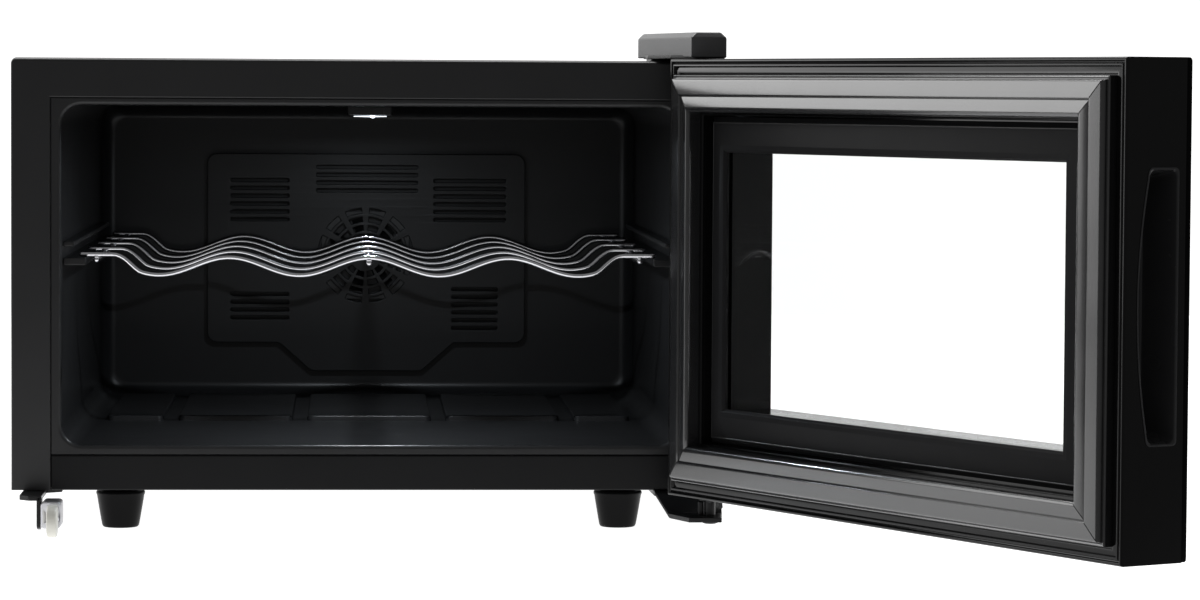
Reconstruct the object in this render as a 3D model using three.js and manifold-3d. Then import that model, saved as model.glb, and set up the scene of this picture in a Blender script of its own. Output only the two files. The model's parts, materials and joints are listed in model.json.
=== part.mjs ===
// Wine cooler: a wide, low thermoelectric cabinet with a glass door, a wire shelf and a key lock.
// Millimetres, +X right, +Y back, +Z up. The door is modelled closed and stands open in the assembly.
import * as THREE from 'three';
import Module from 'manifold-3d';
import { mergeVertices } from 'three/addons/utils/BufferGeometryUtils.js';

const wasm = await Module();
wasm.setup();

// ---------------------------------------------------------------- driving dimensions
// Cabinet. Its own zero point is the middle of the underside, in the plane of the front flanges.
const CABINET = { width: 430, height: 259, depth: 455 };
const HALF = CABINET.width / 2;
const SHEET = 1;
const GAP = 0.3;
const FLANGE = { side: 23.5, top: 23.4 };
const RAIL_TOP = 21.1;

// Liner cavity: front opening, and how much it narrows towards the back wall.
const CAVITY = { halfWidth: 185, floor: 27.3, ceiling: 231, corner: 12, backWall: 385, draft: 1.5 };
const LINER_WALL = 2;
const POCKET = { halfWidth: 100, floor: 74, ceiling: 188, backWall: 407 };
const PLATFORM = {
  half: 168, front: 173, back: 366, rise: 2.5, groove: 9, grooveX: [-127, -44.5, 44.5, 127],
};

// Feet
const FOOT = {
  height: 25, topRadius: 14.8, bottomRadius: 11.2, neckRadius: 11, x: 151.3, front: 30, back: 425,
};

// Door, modelled closed: y = -(SEAL + t), with t counted from the door's inner face outwards.
const DOOR = { height: 260, bottom: 0.3, thickness: 43, openAngle: 118.2 };
const SEAL = 8;
const PIN = { x: 202.9, y: -31, radius: 3 };
const BUSH = { inner: 3.3, outer: 5.6, length: 14 };
const FRAME = { band: 33.2, sill: 52.5, step: 10.5, wall: 2.5, rear: 38.4 };
const GLASS = {
  outerInset: 0, outerNear: 39.6, outerFar: 43, innerInset: 38, innerNear: 8.1, innerFar: 10.2,
};
const MASK = { inset: 0.6, aperture: 53, near: 38.7, far: 39.3 };
const HANDLE = { near: 15.5, bulge: 9.2, far: 34, low: 62, high: 203, depth: 24, wall: 2 };
const KEEPER = { x: -187, halfWidth: 5, y0: -20, y1: -11, high: 9.5 };

// Shelf
const SHELF = {
  left: -175.8, right: 173.2, centre: -1, pitch: 84.5, plateau: 141, crest: 139.4, trough: 128.7,
  wireRadius: 1.6, rodRadius: 2.15, front: 20, back: 372, wires: 5, rodX: [-164.4, 0, 164.4],
};
const LEDGE = {
  outer: 185.3, inner: 171, top: 139.1, thickness: 4.5,
  guardInner: 178, guardBottom: 146, guardTop: 149, front: 10, back: 372,
};

// Cold and hot side: everything on the fans' axis, from the front backwards
const FAN_X = -2;
const FAN_Z = 126.4;
const FAN_BLADES = 7;
const INNER_FAN = {
  half: 30, bore: 27.5, hub: 12, front: 379.5, back: 389.5,
  wheel: { tip: 25.6, hub: 11, depth: 6.6, front: 380.1 },
};
const COLD_SINK = {
  x0: -42, x1: 38, z0: 86, z1: 166, base: [403, 406.6], fins: [391.5, 403.5], fin: 1.2, pitch: 6.06,
};
const COLD_BLOCK = { half: 24, front: 406.9, back: 412.9, clearance: 2 };
const MODULE = { half: 20, front: 413.2, back: 416.8 };
const HOT_SINK = {
  x0: -60, x1: 56.9, z0: 76, z1: 176, base: [417.1, 421.1], fins: [420.6, 436.5], fin: 1.3, pitch: 7.22,
};
const REAR_FAN = {
  half: 40, bore: 37, hub: 15, front: 438, back: 449,
  wheel: { tip: 34.6, hub: 14, depth: 7.8, front: 438.6 },
};
const FOAM_BACK = 412;

// Duct cover in front of the cold sink, with its louvres as [x0, x1, z0, z1]
const COVER = { face: 376.5, thickness: 2, rear: 384.7, halfWidth: 109.5, low: 66, high: 196.5, x: -1.3 };
const LOUVRES = [
  [-95, -54.6, 150, 182], [-95, -54.6, 82, 105], [45, 95, 150, 182], [57.6, 89.5, 75, 105],
  [-36, 34, 170, 190],
];
const LOUVRE = { pitch: 5.4, height: 2.4 };

// Air slots in the rear and bottom panels
const VENT = { pitch: 9, height: 3.5 };

// Defrost water
const DRAIN = { x: 30, y: 399, outer: 4, inner: 2.6 };
const TRAY = { halfWidth: 50, front: 416, back: 446, low: 6, high: 24, wall: 2 };

// Electrical parts
const LAMP = { x: -0.6, halfWidth: 14, front: 38, back: 52, low: 224 };
const BOARD = { x0: -205, x1: -120, y: 416, z0: 24, z1: 124, thickness: 1.6 };
const TRANSFORMER = { x: -162, z: 77, coreHalf: [16, 15], coilHalf: [11, 19], coreBack: 440, coilBack: 443 };
const CAPACITOR = { x: -188, z: 42, radius: 8, length: 24 };
const INLET = {
  x: 150, z: 40, halfWidth: 12, halfHeight: 9, lip: [4, 3], depth: 20,
  well: [9.5, 6.5], wellDepth: 16, pinX: 4, pin: [1.1, 2],
};

// Hinges
const HINGE_TOP = { plateLow: 260.6, plateHigh: 262.8, coverLow: 263.1, coverHigh: 276.2 };
const ARM = { low: -14.8, high: -12, thickness: 2.8 };
const STOP_POST = { dx: -5.4, dy: 2.6, radius: 1.9, top: -4 };
const CLOSER = {
  collar: 7, outer: 10.6, inner: 8.2, from: -80, to: -34, top: -0.1, plateLow: -3.2, hookLow: -10.4,
};

// Lock
const LOCK = {
  x: -187, z: -13.5, left: -194.8, right: -183, low: -19.5, high: -3.6, front: -36, back: -12, barrel: 3.2,
};
const BOLT = { halfWidth: 3, y0: -17.2, y1: -14, low: -18, high: -4 };
const KEY = { bowRadius: 9.5, bowThickness: 6, bowY: -50, bladeHalf: 0.7, bladeHeight: 2.2, tip: -23 };

// Screws: shank and head radii, shank length and places
const REAR_SCREW = { shank: 1.4, head: 3.4, length: 6, inset: 10, height: 12 };
const BRACKET_SCREW = { shank: 1.8, head: 3.8, length: 4.5, places: [[176, 30], [204, 36]] };
const SCREW_GAP = 0.2;

const DEG = Math.PI / 180;
const ARC_STEPS = 5;

// ---------------------------------------------------------------- materials
function material(color, roughness, metalness = 0) {
  return new THREE.MeshStandardMaterial({ color, roughness, metalness });
}

const MATERIALS = {
  paint: material(0x0b0b0c, 0.38),
  darkPlastic: material(0x0c0c0d, 0.45),
  glossPlastic: material(0x070708, 0.12),
  gasket: material(0x26272a, 0.42),
  foam: material(0xe6dcae, 0.9),
  steel: material(0xb9bcc0, 0.3, 1),
  blackSteel: material(0x141415, 0.4, 0.3),
  chrome: material(0xdfe2e6, 0.08, 1),
  aluminium: material(0xc4c7ca, 0.35, 1),
  glass: new THREE.MeshStandardMaterial({
    color: 0xf2f6f5, roughness: 0.03, transparent: true, opacity: 0.2,
  }),
  board: material(0x1c5a33, 0.5),
  ceramic: material(0xefeee8, 0.6),
  rubber: material(0x111111, 0.8),
  ivory: material(0xf0eee2, 0.45),
  lens: material(0xf4f8ff, 0.2),
};

// ---------------------------------------------------------------- solids
function toSolid(geometry) {
  const bare = geometry.clone();
  bare.deleteAttribute('normal');
  bare.deleteAttribute('uv');
  const merged = mergeVertices(bare, 1e-4);
  return new wasm.Manifold(new wasm.Mesh({
    numProp: 3,
    vertProperties: new Float32Array(merged.attributes.position.array),
    triVerts: new Uint32Array(merged.index.array),
  }));
}

function toGeometry(solid) {
  const mesh = solid.getMesh();
  const geometry = new THREE.BufferGeometry();
  geometry.setAttribute('position', new THREE.BufferAttribute(new Float32Array(mesh.vertProperties), 3));
  geometry.setIndex(new THREE.BufferAttribute(new Uint32Array(mesh.triVerts), 1));
  geometry.computeVertexNormals();
  return geometry;
}

const join = (...geometries) => toGeometry(geometries.map(toSolid).reduce((a, b) => a.add(b)));
const cut = (base, ...tools) => toGeometry(tools.map(toSolid).reduce((a, b) => a.subtract(b), toSolid(base)));
const common = (a, b) => toGeometry(toSolid(a).intersect(toSolid(b)));

function box(x0, x1, y0, y1, z0, z1) {
  const geometry = new THREE.BoxGeometry(x1 - x0, y1 - y0, z1 - z0);
  return geometry.translate((x0 + x1) / 2, (y0 + y1) / 2, (z0 + z1) / 2);
}

function roundedRect(x0, x1, y0, y1, radius, shape = new THREE.Shape()) {
  shape.moveTo(x0 + radius, y0);
  shape.lineTo(x1 - radius, y0);
  shape.absarc(x1 - radius, y0 + radius, radius, -Math.PI / 2, 0, false);
  shape.lineTo(x1, y1 - radius);
  shape.absarc(x1 - radius, y1 - radius, radius, 0, Math.PI / 2, false);
  shape.lineTo(x0 + radius, y1);
  shape.absarc(x0 + radius, y1 - radius, radius, Math.PI / 2, Math.PI, false);
  shape.lineTo(x0, y0 + radius);
  shape.absarc(x0 + radius, y0 + radius, radius, Math.PI, 1.5 * Math.PI, false);
  return shape;
}

function polygon(points, shape = new THREE.Shape()) {
  points.forEach(([x, y], i) => (i ? shape.lineTo(x, y) : shape.moveTo(x, y)));
  return shape;
}

function circle(x, y, radius, path = new THREE.Path()) {
  path.absarc(x, y, radius, 0, 2 * Math.PI, false);
  return path;
}

const extrude = (shape, depth, curveSegments = 5) =>
  new THREE.ExtrudeGeometry(shape, { depth, bevelEnabled: false, curveSegments, steps: 1 });

// A shape drawn in X and Y, between two heights.
const alongZ = (shape, z0, z1, segments) => extrude(shape, z1 - z0, segments).translate(0, 0, z0);

// A shape drawn in X and Z, between two depths.
function alongY(shape, y0, y1, segments) {
  return extrude(shape, y1 - y0, segments).rotateX(Math.PI / 2).translate(0, y1, 0);
}

// A shape drawn in Y and Z, between two places across the width.
function alongX(shape, x0, x1, segments) {
  const turn = new THREE.Matrix4().set(0, 0, 1, x0, 1, 0, 0, 0, 0, 1, 0, 0, 0, 0, 0, 1);
  return extrude(shape, x1 - x0, segments).applyMatrix4(turn);
}

function turned(profile, segments = 24) {
  const geometry = new THREE.LatheGeometry(profile.map(([r, z]) => new THREE.Vector2(r, z)), segments);
  return geometry.rotateX(Math.PI / 2);
}

function rod(radius, z0, z1, segments = 16) {
  return turned([[0, z0], [radius, z0], [radius, z1], [0, z1]], segments);
}

// A frame with mitred corners. The profile's points are [inset, t]: the distance in from the door's edge
// and the depth from the door's inner face.
function mitredFrame(profile) {
  const ccw = THREE.ShapeUtils.area(profile.map(([a, b]) => new THREE.Vector2(a, b))) > 0;
  const points = ccw ? [...profile].reverse() : profile;
  const corners = [[-1, 0], [1, 0], [1, 1], [-1, 1]];
  const positions = [];
  corners.forEach(([side, top]) => points.forEach(([inset, t]) => {
    const z = top ? DOOR.bottom + DOOR.height - inset : DOOR.bottom + inset;
    positions.push(side * (HALF - inset), -(SEAL + t), z);
  }));
  const n = points.length;
  const index = [];
  for (let c = 0; c < 4; c += 1) {
    const next = ((c + 1) % 4) * n;
    for (let k = 0; k < n; k += 1) {
      const m = (k + 1) % n;
      index.push(c * n + k, next + k, next + m, c * n + k, next + m, c * n + m);
    }
  }
  const geometry = new THREE.BufferGeometry();
  geometry.setAttribute('position', new THREE.BufferAttribute(new Float32Array(positions), 3));
  geometry.setIndex(index);
  return geometry;
}

// A tub between rounded rectangles of falling size. Each section is [y, halfWidth, low, high, radius].
function loft(sections) {
  const rings = sections.map(([y, halfWidth, low, high, radius]) => {
    const centres = [[halfWidth - radius, low + radius], [halfWidth - radius, high - radius],
      [radius - halfWidth, high - radius], [radius - halfWidth, low + radius]];
    const ring = [];
    centres.forEach(([cx, cz], corner) => {
      for (let k = 0; k <= ARC_STEPS; k += 1) {
        const angle = (corner - 1 + k / ARC_STEPS) * Math.PI / 2;
        ring.push([cx + radius * Math.cos(angle), y, cz + radius * Math.sin(angle)]);
      }
    });
    return ring;
  });
  const n = rings[0].length;
  const index = [];
  for (let s = 0; s + 1 < rings.length; s += 1) {
    for (let k = 0; k < n; k += 1) {
      const m = (k + 1) % n;
      const a = s * n;
      const b = a + n;
      index.push(a + k, a + m, b + m, a + k, b + m, b + k);
    }
  }
  const last = (rings.length - 1) * n;
  for (let k = 1; k + 1 < n; k += 1) {
    index.push(0, k + 1, k);
    index.push(last, last + k, last + k + 1);
  }
  const geometry = new THREE.BufferGeometry();
  geometry.setAttribute('position', new THREE.BufferAttribute(new Float32Array(rings.flat(2)), 3));
  geometry.setIndex(index.map((v, i) => index[i - (i % 3) + (2 - (i % 3))]));
  return geometry;
}

const cabinet = new THREE.Group();
const door = new THREE.Group();

function add(parent, name, geometry, finish) {
  const mesh = new THREE.Mesh(geometry, finish);
  mesh.name = name;
  parent.add(mesh);
  return mesh;
}

// ---------------------------------------------------------------- cabinet shell
function outerShell() {
  const top = CABINET.height;
  const sheet = roundedRect(-HALF, HALF, -20, top, 3);
  sheet.holes.push(roundedRect(-HALF + SHEET, HALF - SHEET, -19, top - SHEET, 2, new THREE.Path()));
  const wrap = alongY(sheet, 0, CABINET.depth);
  const face = roundedRect(-HALF, HALF, -20, top, 3);
  const inner = HALF - FLANGE.side;
  const lintel = top - FLANGE.top;
  const mouth = [[-inner, -19], [inner, -19], [inner, lintel], [-inner, lintel]];
  face.holes.push(polygon(mouth, new THREE.Path()));
  const open = box(-HALF - 1, HALF + 1, -1, CABINET.depth + 1, -21, 0);
  return cut(join(wrap, alongY(face, 0, SHEET)), open);
}

function frontRail() {
  const x = HALF - FLANGE.side - GAP;
  return join(
    box(-x, x, 0, SHEET, 0, RAIL_TOP),
    box(-x, x, 0, 14, 0, SHEET),
    box(-x, x, 0, 10, RAIL_TOP - SHEET, RAIL_TOP),
  );
}

// Cutters for a stack of horizontal slots.
function slotRows([x0, x1, z0, z1], { pitch, height }, y0, y1) {
  const cutters = [];
  for (let z = z0; z + height <= z1 + 1e-6; z += pitch) {
    cutters.push(box(x0, x1, y0, y1, z, z + height));
  }
  return cutters;
}

function bottomPanel() {
  const x = HALF - SHEET - GAP;
  const slots = [];
  for (const side of [-1, 1]) {
    for (let k = 0; k < 8; k += 1) {
      const x0 = side * 62 + (k - 4) * VENT.pitch;
      slots.push(box(x0, x0 + VENT.height, 418, 446, -1, 2));
    }
  }
  return cut(box(-x, x, 14.3, CABINET.depth - 1.4, 0, SHEET), ...slots, ...bracketScrewHoles());
}

const bracketScrewHoles = () => BRACKET_SCREW.places.map(([x, y]) => (
  rod(BRACKET_SCREW.shank + SCREW_GAP, -6, 1.2, 10).translate(x, y, 0)
));

const rearScrewX = HALF - REAR_SCREW.inset;
const rearScrewZ = [REAR_SCREW.height, CABINET.height - REAR_SCREW.height];
const rearScrewPlaces = rearScrewZ.flatMap((z) => [[-rearScrewX, z], [rearScrewX, z]]);

function rearPanel() {
  const x = HALF - SHEET - GAP;
  const y0 = CABINET.depth - SHEET;
  const y1 = CABINET.depth;
  const near = y0 - 1;
  const far = y1 + 1;
  const sheet = alongY(roundedRect(-x, x, SHEET + GAP, CABINET.height - SHEET - GAP, 3), y0, y1, 3);
  const opening = alongY(circle(FAN_X, FAN_Z, REAR_FAN.bore, new THREE.Shape()), near, far, 8);
  const i = INLET;
  const socket = box(i.x - i.halfWidth, i.x + i.halfWidth, near, far, i.z - i.halfHeight, i.z + i.halfHeight);
  const vents = [[-135, -75, 84, 170], [75, 135, 84, 170], [FAN_X - 50, FAN_X + 50, 24, 60]];
  const screwHoles = rearScrewPlaces.map(([sx, sz]) => (
    alongY(circle(sx, sz, REAR_SCREW.shank + SCREW_GAP, new THREE.Shape()), near, far, 5)
  ));
  const slots = vents.flatMap((area) => slotRows(area, VENT, near, far));
  return cut(sheet, opening, socket, ...slots, ...screwHoles);
}

function ringSlots(shape, cx, cz, radii, width, count, gapAngle) {
  radii.forEach((radius) => {
    for (let k = 0; k < count; k += 1) {
      const from = (k / count) * 2 * Math.PI + gapAngle / 2;
      const to = ((k + 1) / count) * 2 * Math.PI - gapAngle / 2;
      const slot = new THREE.Path();
      slot.absarc(cx, cz, radius + width / 2, from, to, false);
      slot.absarc(cx, cz, radius - width / 2, to, from, true);
      slot.closePath();
      shape.holes.push(slot);
    }
  });
}

function rearFanGuard() {
  const y0 = CABINET.depth + GAP;
  const face = roundedRect(FAN_X - 44, FAN_X + 44, FAN_Z - 44, FAN_Z + 44, 6);
  ringSlots(face, FAN_X, FAN_Z, [17, 25, 33], 5, 4, 0.16);
  return alongY(face, y0, y0 + 2.2, 3);
}

// ---------------------------------------------------------------- liner
const linerSections = (grow) => {
  const c = CAVITY;
  const d = c.draft;
  const at = (y, inset, radius) => (
    [y, c.halfWidth - inset + grow, c.floor + inset - grow, c.ceiling - inset + grow, radius + grow]
  );
  return [
    at(grow ? 2 : -5, 0, c.corner),
    at(c.backWall - 12 + grow, d, c.corner),
    at(c.backWall - 4 + grow, d + 3, c.corner),
    at(c.backWall + grow, d + 9, c.corner - 3),
  ];
};

// A shelf support and, above it, the rib that keeps the shelf from tipping.
function ledges(side) {
  const l = LEDGE;
  const bar = (inner, low, high) => {
    const [x0, x1] = [l.outer * side, inner * side].sort((a, b) => a - b);
    return box(x0, x1, l.front, l.back, low, high);
  };
  return [bar(l.inner, l.top - l.thickness, l.top), bar(l.guardInner, l.guardBottom, l.guardTop)];
}

// The raised floor, in pads with drain grooves between them.
function platform() {
  const p = PLATFORM;
  const half = p.groove / 2;
  const edges = [-p.half, ...p.grooveX.flatMap((x) => [x - half, x + half]), p.half];
  const top = CAVITY.floor + CAVITY.draft + p.rise;
  const pads = [];
  for (let k = 0; k < edges.length; k += 2) {
    pads.push(box(edges[k], edges[k + 1], p.front, p.back, CAVITY.floor + 0.4, top));
  }
  return pads;
}

// The recess behind the duct cover, grown outwards by a wall.
function pocketBox(grow, front) {
  const p = POCKET;
  const x = p.halfWidth + grow;
  return box(-x, x, front, p.backWall + grow, p.floor - grow, p.ceiling + grow);
}

// The square passage of the cold block through the liner and the foam.
function blockPassage(front, back) {
  const half = COLD_BLOCK.half + COLD_BLOCK.clearance;
  return box(FAN_X - half, FAN_X + half, front, back, FAN_Z - half, FAN_Z + half);
}

function innerLiner() {
  const lip = HALF - FLANGE.side - GAP;
  const flange = roundedRect(-lip, lip, RAIL_TOP + GAP, CABINET.height - FLANGE.top - GAP, 1);
  const w = LINER_WALL;
  const p = POCKET;
  const tub = join(
    loft(linerSections(w)),
    alongY(flange, GAP, GAP + 2.2, 3),
    pocketBox(w, CAVITY.backWall - 1),
  );
  const hollow = cut(
    tub,
    loft(linerSections(0)),
    pocketBox(0, CAVITY.backWall - 3),
    blockPassage(p.backWall - 1, p.backWall + w + 1),
    box(LAMP.x - 11, LAMP.x + 11, LAMP.front + 2.5, LAMP.back - 2.5, CAVITY.ceiling - 4, CAVITY.ceiling + 4),
    rod(DRAIN.outer + 0.4, p.floor - 5, p.floor + 2, 10).translate(DRAIN.x, DRAIN.y, 0),
  );
  return join(hollow, ...ledges(-1), ...ledges(1), ...platform());
}

function insulation() {
  const x = HALF - SHEET - GAP;
  const top = CABINET.height - SHEET - GAP;
  const block = join(
    alongY(roundedRect(-x, x, RAIL_TOP + 0.8, top, 3), 2.9, FOAM_BACK, 3),
    box(-x, x, 14.6, FOAM_BACK, SHEET + GAP, RAIL_TOP + 2),
  );
  const w = LINER_WALL + 0.4;
  return cut(
    block,
    loft(linerSections(w)),
    pocketBox(w, CAVITY.backWall - 2),
    blockPassage(POCKET.backWall - 1, FOAM_BACK + 1),
    box(LAMP.x - 18, LAMP.x + 18, LAMP.front - 2, LAMP.back + 2, CAVITY.ceiling, CAVITY.ceiling + 8),
    drainPath(DRAIN.outer + 0.5),
  );
}

// ---------------------------------------------------------------- cold side
// A rectangle with cut corners that runs down into a spout, grown outwards by a margin.
function coverOutline(grow = 0) {
  const low = COVER.low - grow;
  const high = COVER.high + grow;
  const half = COVER.halfWidth + grow;
  const right = [
    [38 + grow, 46.5 - grow], [56 + grow, low - 4], [61 + grow, low],
    [half - 6, low], [half, low + 6], [half, high - 6], [half - 6, high],
  ];
  const left = right.map(([x, z]) => [-x, z]).reverse();
  return polygon([...left, ...right].map(([x, z]) => [COVER.x + x, z]));
}

function evaporatorCover() {
  const c = COVER;
  const face = coverOutline();
  ringSlots(face, FAN_X, FAN_Z, [11, 19, 27], 4, 4, 0.3);
  const rim = coverOutline();
  rim.holes.push(new THREE.Path(coverOutline(-1.8).getPoints()));
  const slots = LOUVRES.flatMap((area) => slotRows(area, LOUVRE, c.face - 1, c.face + c.thickness + 1));
  const panel = cut(alongY(face, c.face, c.face + c.thickness, 3), ...slots);
  return join(panel, alongY(rim, c.face + 0.5, c.rear));
}

// A base plate with upright fins across its width.
function finnedSink({ x0, x1, z0, z1, base, fins, fin, pitch }) {
  const pieces = [box(x0, x1, ...base, z0, z1)];
  for (let x = x0; x + fin <= x1 + 1e-6; x += pitch) {
    pieces.push(box(x, x + fin, ...fins, z0, z1));
  }
  return join(...pieces);
}

// A square block on the fans' axis.
function axisBlock({ half, front, back }) {
  return box(FAN_X - half, FAN_X + half, front, back, FAN_Z - half, FAN_Z + half);
}

function fanFrame({ half, bore, hub, front, back }) {
  const plate = roundedRect(FAN_X - half, FAN_X + half, FAN_Z - half, FAN_Z + half, 4);
  plate.holes.push(circle(FAN_X, FAN_Z, bore));
  const corner = half - 4.6;
  for (const sx of [-1, 1]) {
    for (const sz of [-1, 1]) {
      plate.holes.push(circle(FAN_X + sx * corner, FAN_Z + sz * corner, 2));
    }
  }
  const strut = () => box(-bore - 1, bore + 1, back - 2, back, -1.6, 1.6);
  const struts = [45, 135].map((angle) => strut().rotateY(angle * DEG).translate(FAN_X, 0, FAN_Z));
  const disc = rod(hub, 0, 2, 16).rotateX(-Math.PI / 2).translate(FAN_X, back - 2, FAN_Z);
  return join(alongY(plate, front, back, 6), ...struts, disc);
}

function fanRotor({ tip, hub, depth }) {
  const pieces = [rod(hub, 0, depth, 16).rotateX(-Math.PI / 2)];
  const pitch = 38 * DEG;
  for (let k = 0; k < FAN_BLADES; k += 1) {
    const blade = box(hub - 2, tip, -0.7, 0.7, -depth * 0.8, depth * 0.8);
    blade.rotateX(pitch).translate(0, depth / 2, 0).rotateY((k / FAN_BLADES) * 2 * Math.PI);
    pieces.push(blade);
  }
  const slab = rod(tip, 0, depth, 28).rotateX(-Math.PI / 2);
  return common(join(...pieces), slab);
}

// The drain's route from the recess floor down to the tray.
function drainPath(radius) {
  const { x, y } = DRAIN;
  const points = [
    [x, y, POCKET.floor + 1], [x, y, 60], [x - 8, 412, 48], [x - 16, 428, 36], [x - 18, 431, 27],
  ];
  const route = new THREE.CatmullRomCurve3(points.map((p) => new THREE.Vector3(...p)));
  const section = circle(0, 0, radius, new THREE.Shape());
  return new THREE.ExtrudeGeometry(section, { steps: 8, extrudePath: route, curveSegments: 4 });
}

function dripTray() {
  const { halfWidth: x, front, back, low, high, wall: w } = TRAY;
  return cut(box(-x, x, front, back, low, high), box(w - x, x - w, front + w, back - w, low + w, high + 1));
}

// ---------------------------------------------------------------- electrical parts
const boardFace = BOARD.y + BOARD.thickness + GAP;

const powerBoard = () => box(BOARD.x0, BOARD.x1, BOARD.y, BOARD.y + BOARD.thickness, BOARD.z0, BOARD.z1);

function transformer() {
  const t = TRANSFORMER;
  const block = ([hx, hz], front, back) => box(t.x - hx, t.x + hx, front, back, t.z - hz, t.z + hz);
  return join(block(t.coreHalf, boardFace, t.coreBack), block(t.coilHalf, boardFace + 0.6, t.coilBack));
}

function capacitor() {
  const c = CAPACITOR;
  return rod(c.radius, 0, c.length, 18).rotateX(-Math.PI / 2).translate(c.x, boardFace, c.z);
}

function powerInlet() {
  const i = INLET;
  const y = CABINET.depth;
  const outline = (hx, hz, radius) => roundedRect(i.x - hx, i.x + hx, i.z - hz, i.z + hz, radius);
  const flange = outline(i.halfWidth + i.lip[0], i.halfHeight + i.lip[1], 3);
  const housing = outline(i.halfWidth - GAP, i.halfHeight - GAP, 2);
  const well = outline(...i.well, 3);
  const shell = cut(
    join(alongY(flange, y + GAP, y + 2.3, 4), alongY(housing, y - i.depth, y + 1, 4)),
    alongY(well, y - i.wellDepth, y + 4, 4),
  );
  const [px, pz] = i.pin;
  const pins = [i.x - i.pinX, i.x + i.pinX].map((x) => (
    box(x - px, x + px, y - i.wellDepth - 1, y - 3, i.z - pz, i.z + pz)
  ));
  return join(shell, ...pins);
}

// A shallow cup whose face is set in from its rim.
function lampLens() {
  const l = LAMP;
  const slab = (inset, low, high) => (
    box(l.x - l.halfWidth + inset, l.x + l.halfWidth - inset, l.front + inset, l.back - inset, low, high)
  );
  const rimTop = CAVITY.ceiling - 0.8;
  const cup = join(slab(0, l.low + 1.2, rimTop), slab(2, l.low, l.low + 2));
  return cut(cup, slab(1.2, l.low + 1.8, rimTop + 1));
}

// The lamp's board lies above the liner; its tower reaches through and carries the diode.
function lampBoard() {
  const { x, front, back } = LAMP;
  const middle = (front + back) / 2;
  return join(
    box(x - 16, x + 16, front, back, 233.5, 235),
    box(x - 9, x + 9, middle - 3, middle + 3, 229, 233.6),
    box(x - 2.5, x + 2.5, middle - 2.5, middle + 2.5, 227, 229.5),
  );
}

function temperatureProbe() {
  const bulb = rod(2.5, 0, 22, 10).rotateX(Math.PI / 2).rotateZ(Math.PI / 2).translate(50, 396, 176);
  return join(bulb, box(60, 64, 393, 399, 176, POCKET.ceiling - GAP));
}

// ---------------------------------------------------------------- feet, hinges, lock: fixed to the cabinet
function foot() {
  const f = FOOT;
  return turned([
    [0, -f.height], [f.bottomRadius - 0.8, -f.height], [f.bottomRadius, -f.height + 0.8],
    [f.topRadius - 0.6, -5], [f.topRadius, -4.4], [f.topRadius, -3], [f.topRadius - 0.8, -2.4],
    [f.neckRadius, -2.2], [f.neckRadius, -GAP], [0, -GAP],
  ], 16);
}

function hingePlate() {
  const h = HINGE_TOP;
  const plan = polygon([
    [178, -22], [190, -42], [197, -45], [208, -45], [212, -40], [212, 58], [172, 58], [167, 52], [167, 16],
  ]);
  const foot = box(169, 210, 16, 56, CABINET.height + GAP, h.plateLow + 0.5);
  const pinHole = rod(PIN.radius + 0.1, h.plateLow - 5, h.plateHigh + 5, 20).translate(PIN.x, PIN.y, 0);
  return cut(join(alongZ(plan, h.plateLow, h.plateHigh), foot), pinHole);
}

function topPin() {
  const h = HINGE_TOP;
  const top = h.plateHigh + 3;
  const r = PIN.radius;
  const pin = turned([
    [0, 247], [r - 0.6, 247], [r, 248], [r, h.plateHigh + 0.2], [5, h.plateHigh + 0.3],
    [5, top - 1], [3.6, top], [0, top],
  ], 14);
  return pin.translate(PIN.x, PIN.y, 0);
}

function hingeCover() {
  const h = HINGE_TOP;
  const plan = (inset, front) => [
    [188.4 + inset, front], [209.2 - inset, front], [211.5 - inset, front + 5], [212.4 - inset, 62 - inset],
    [164.2 + inset, 62 - inset], [164.2 + inset, 50],
  ];
  const outer = alongZ(polygon(plan(0, -47)), h.coverLow, h.coverHigh - 3);
  const crown = prismTo(plan(0, -47), plan(3.2, -45), h.coverHigh - 3.2, h.coverHigh);
  const inside = alongZ(polygon(plan(2, -45)), h.coverLow - 1, h.coverHigh - 5);
  return cut(join(outer, crown), inside);
}

// A solid between two outlines of equal length, each drawn counter-clockwise.
function prismTo(lower, upper, z0, z1) {
  const n = lower.length;
  const positions = [...lower.map(([x, y]) => [x, y, z0]), ...upper.map(([x, y]) => [x, y, z1])].flat();
  const index = [];
  const outline = lower.map(([x, y]) => new THREE.Vector2(x, y));
  THREE.ShapeUtils.triangulateShape(outline, []).forEach(([a, b, c]) => {
    index.push(c, b, a, a + n, b + n, c + n);
  });
  for (let k = 0; k < n; k += 1) {
    const m = (k + 1) % n;
    index.push(k, m, m + n, k, m + n, k + n);
  }
  const geometry = new THREE.BufferGeometry();
  geometry.setAttribute('position', new THREE.BufferAttribute(new Float32Array(positions), 3));
  geometry.setIndex(index);
  return geometry;
}

function hingeBracket() {
  const t = ARM.thickness;
  const side = polygon([
    [44, -GAP], [-3, -GAP], [-20, ARM.high], [-47, ARM.high],
    [-47, ARM.high - t], [-21.5, ARM.high - t], [-4.5, -GAP - t], [44, -GAP - t],
  ]);
  const plan = polygon([[170, 44], [170, 0], [176, -14], [189, -47], [210, -47], [213, -40], [213, 44]]);
  const arm = common(alongX(side, 168, 214), alongZ(plan, -20, 2));
  const p = STOP_POST;
  const post = rod(p.radius, ARM.high - 0.5, p.top, 14).translate(PIN.x + p.dx, PIN.y + p.dy, 0);
  const pinHole = rod(PIN.radius + 0.1, -20, -8, 20).translate(PIN.x, PIN.y, 0);
  return cut(join(arm, post), pinHole, ...bracketScrewHoles());
}

function bottomPin() {
  const low = ARM.low - 2.2;
  const pin = turned([
    [0, low], [3.6, low], [5, low + 1.2], [5, ARM.low - 0.1], [PIN.radius, ARM.low], [PIN.radius, 12.6],
    [PIN.radius - 0.6, 13.4], [0, 13.4],
  ], 14);
  return pin.translate(PIN.x, PIN.y, 0);
}

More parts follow.
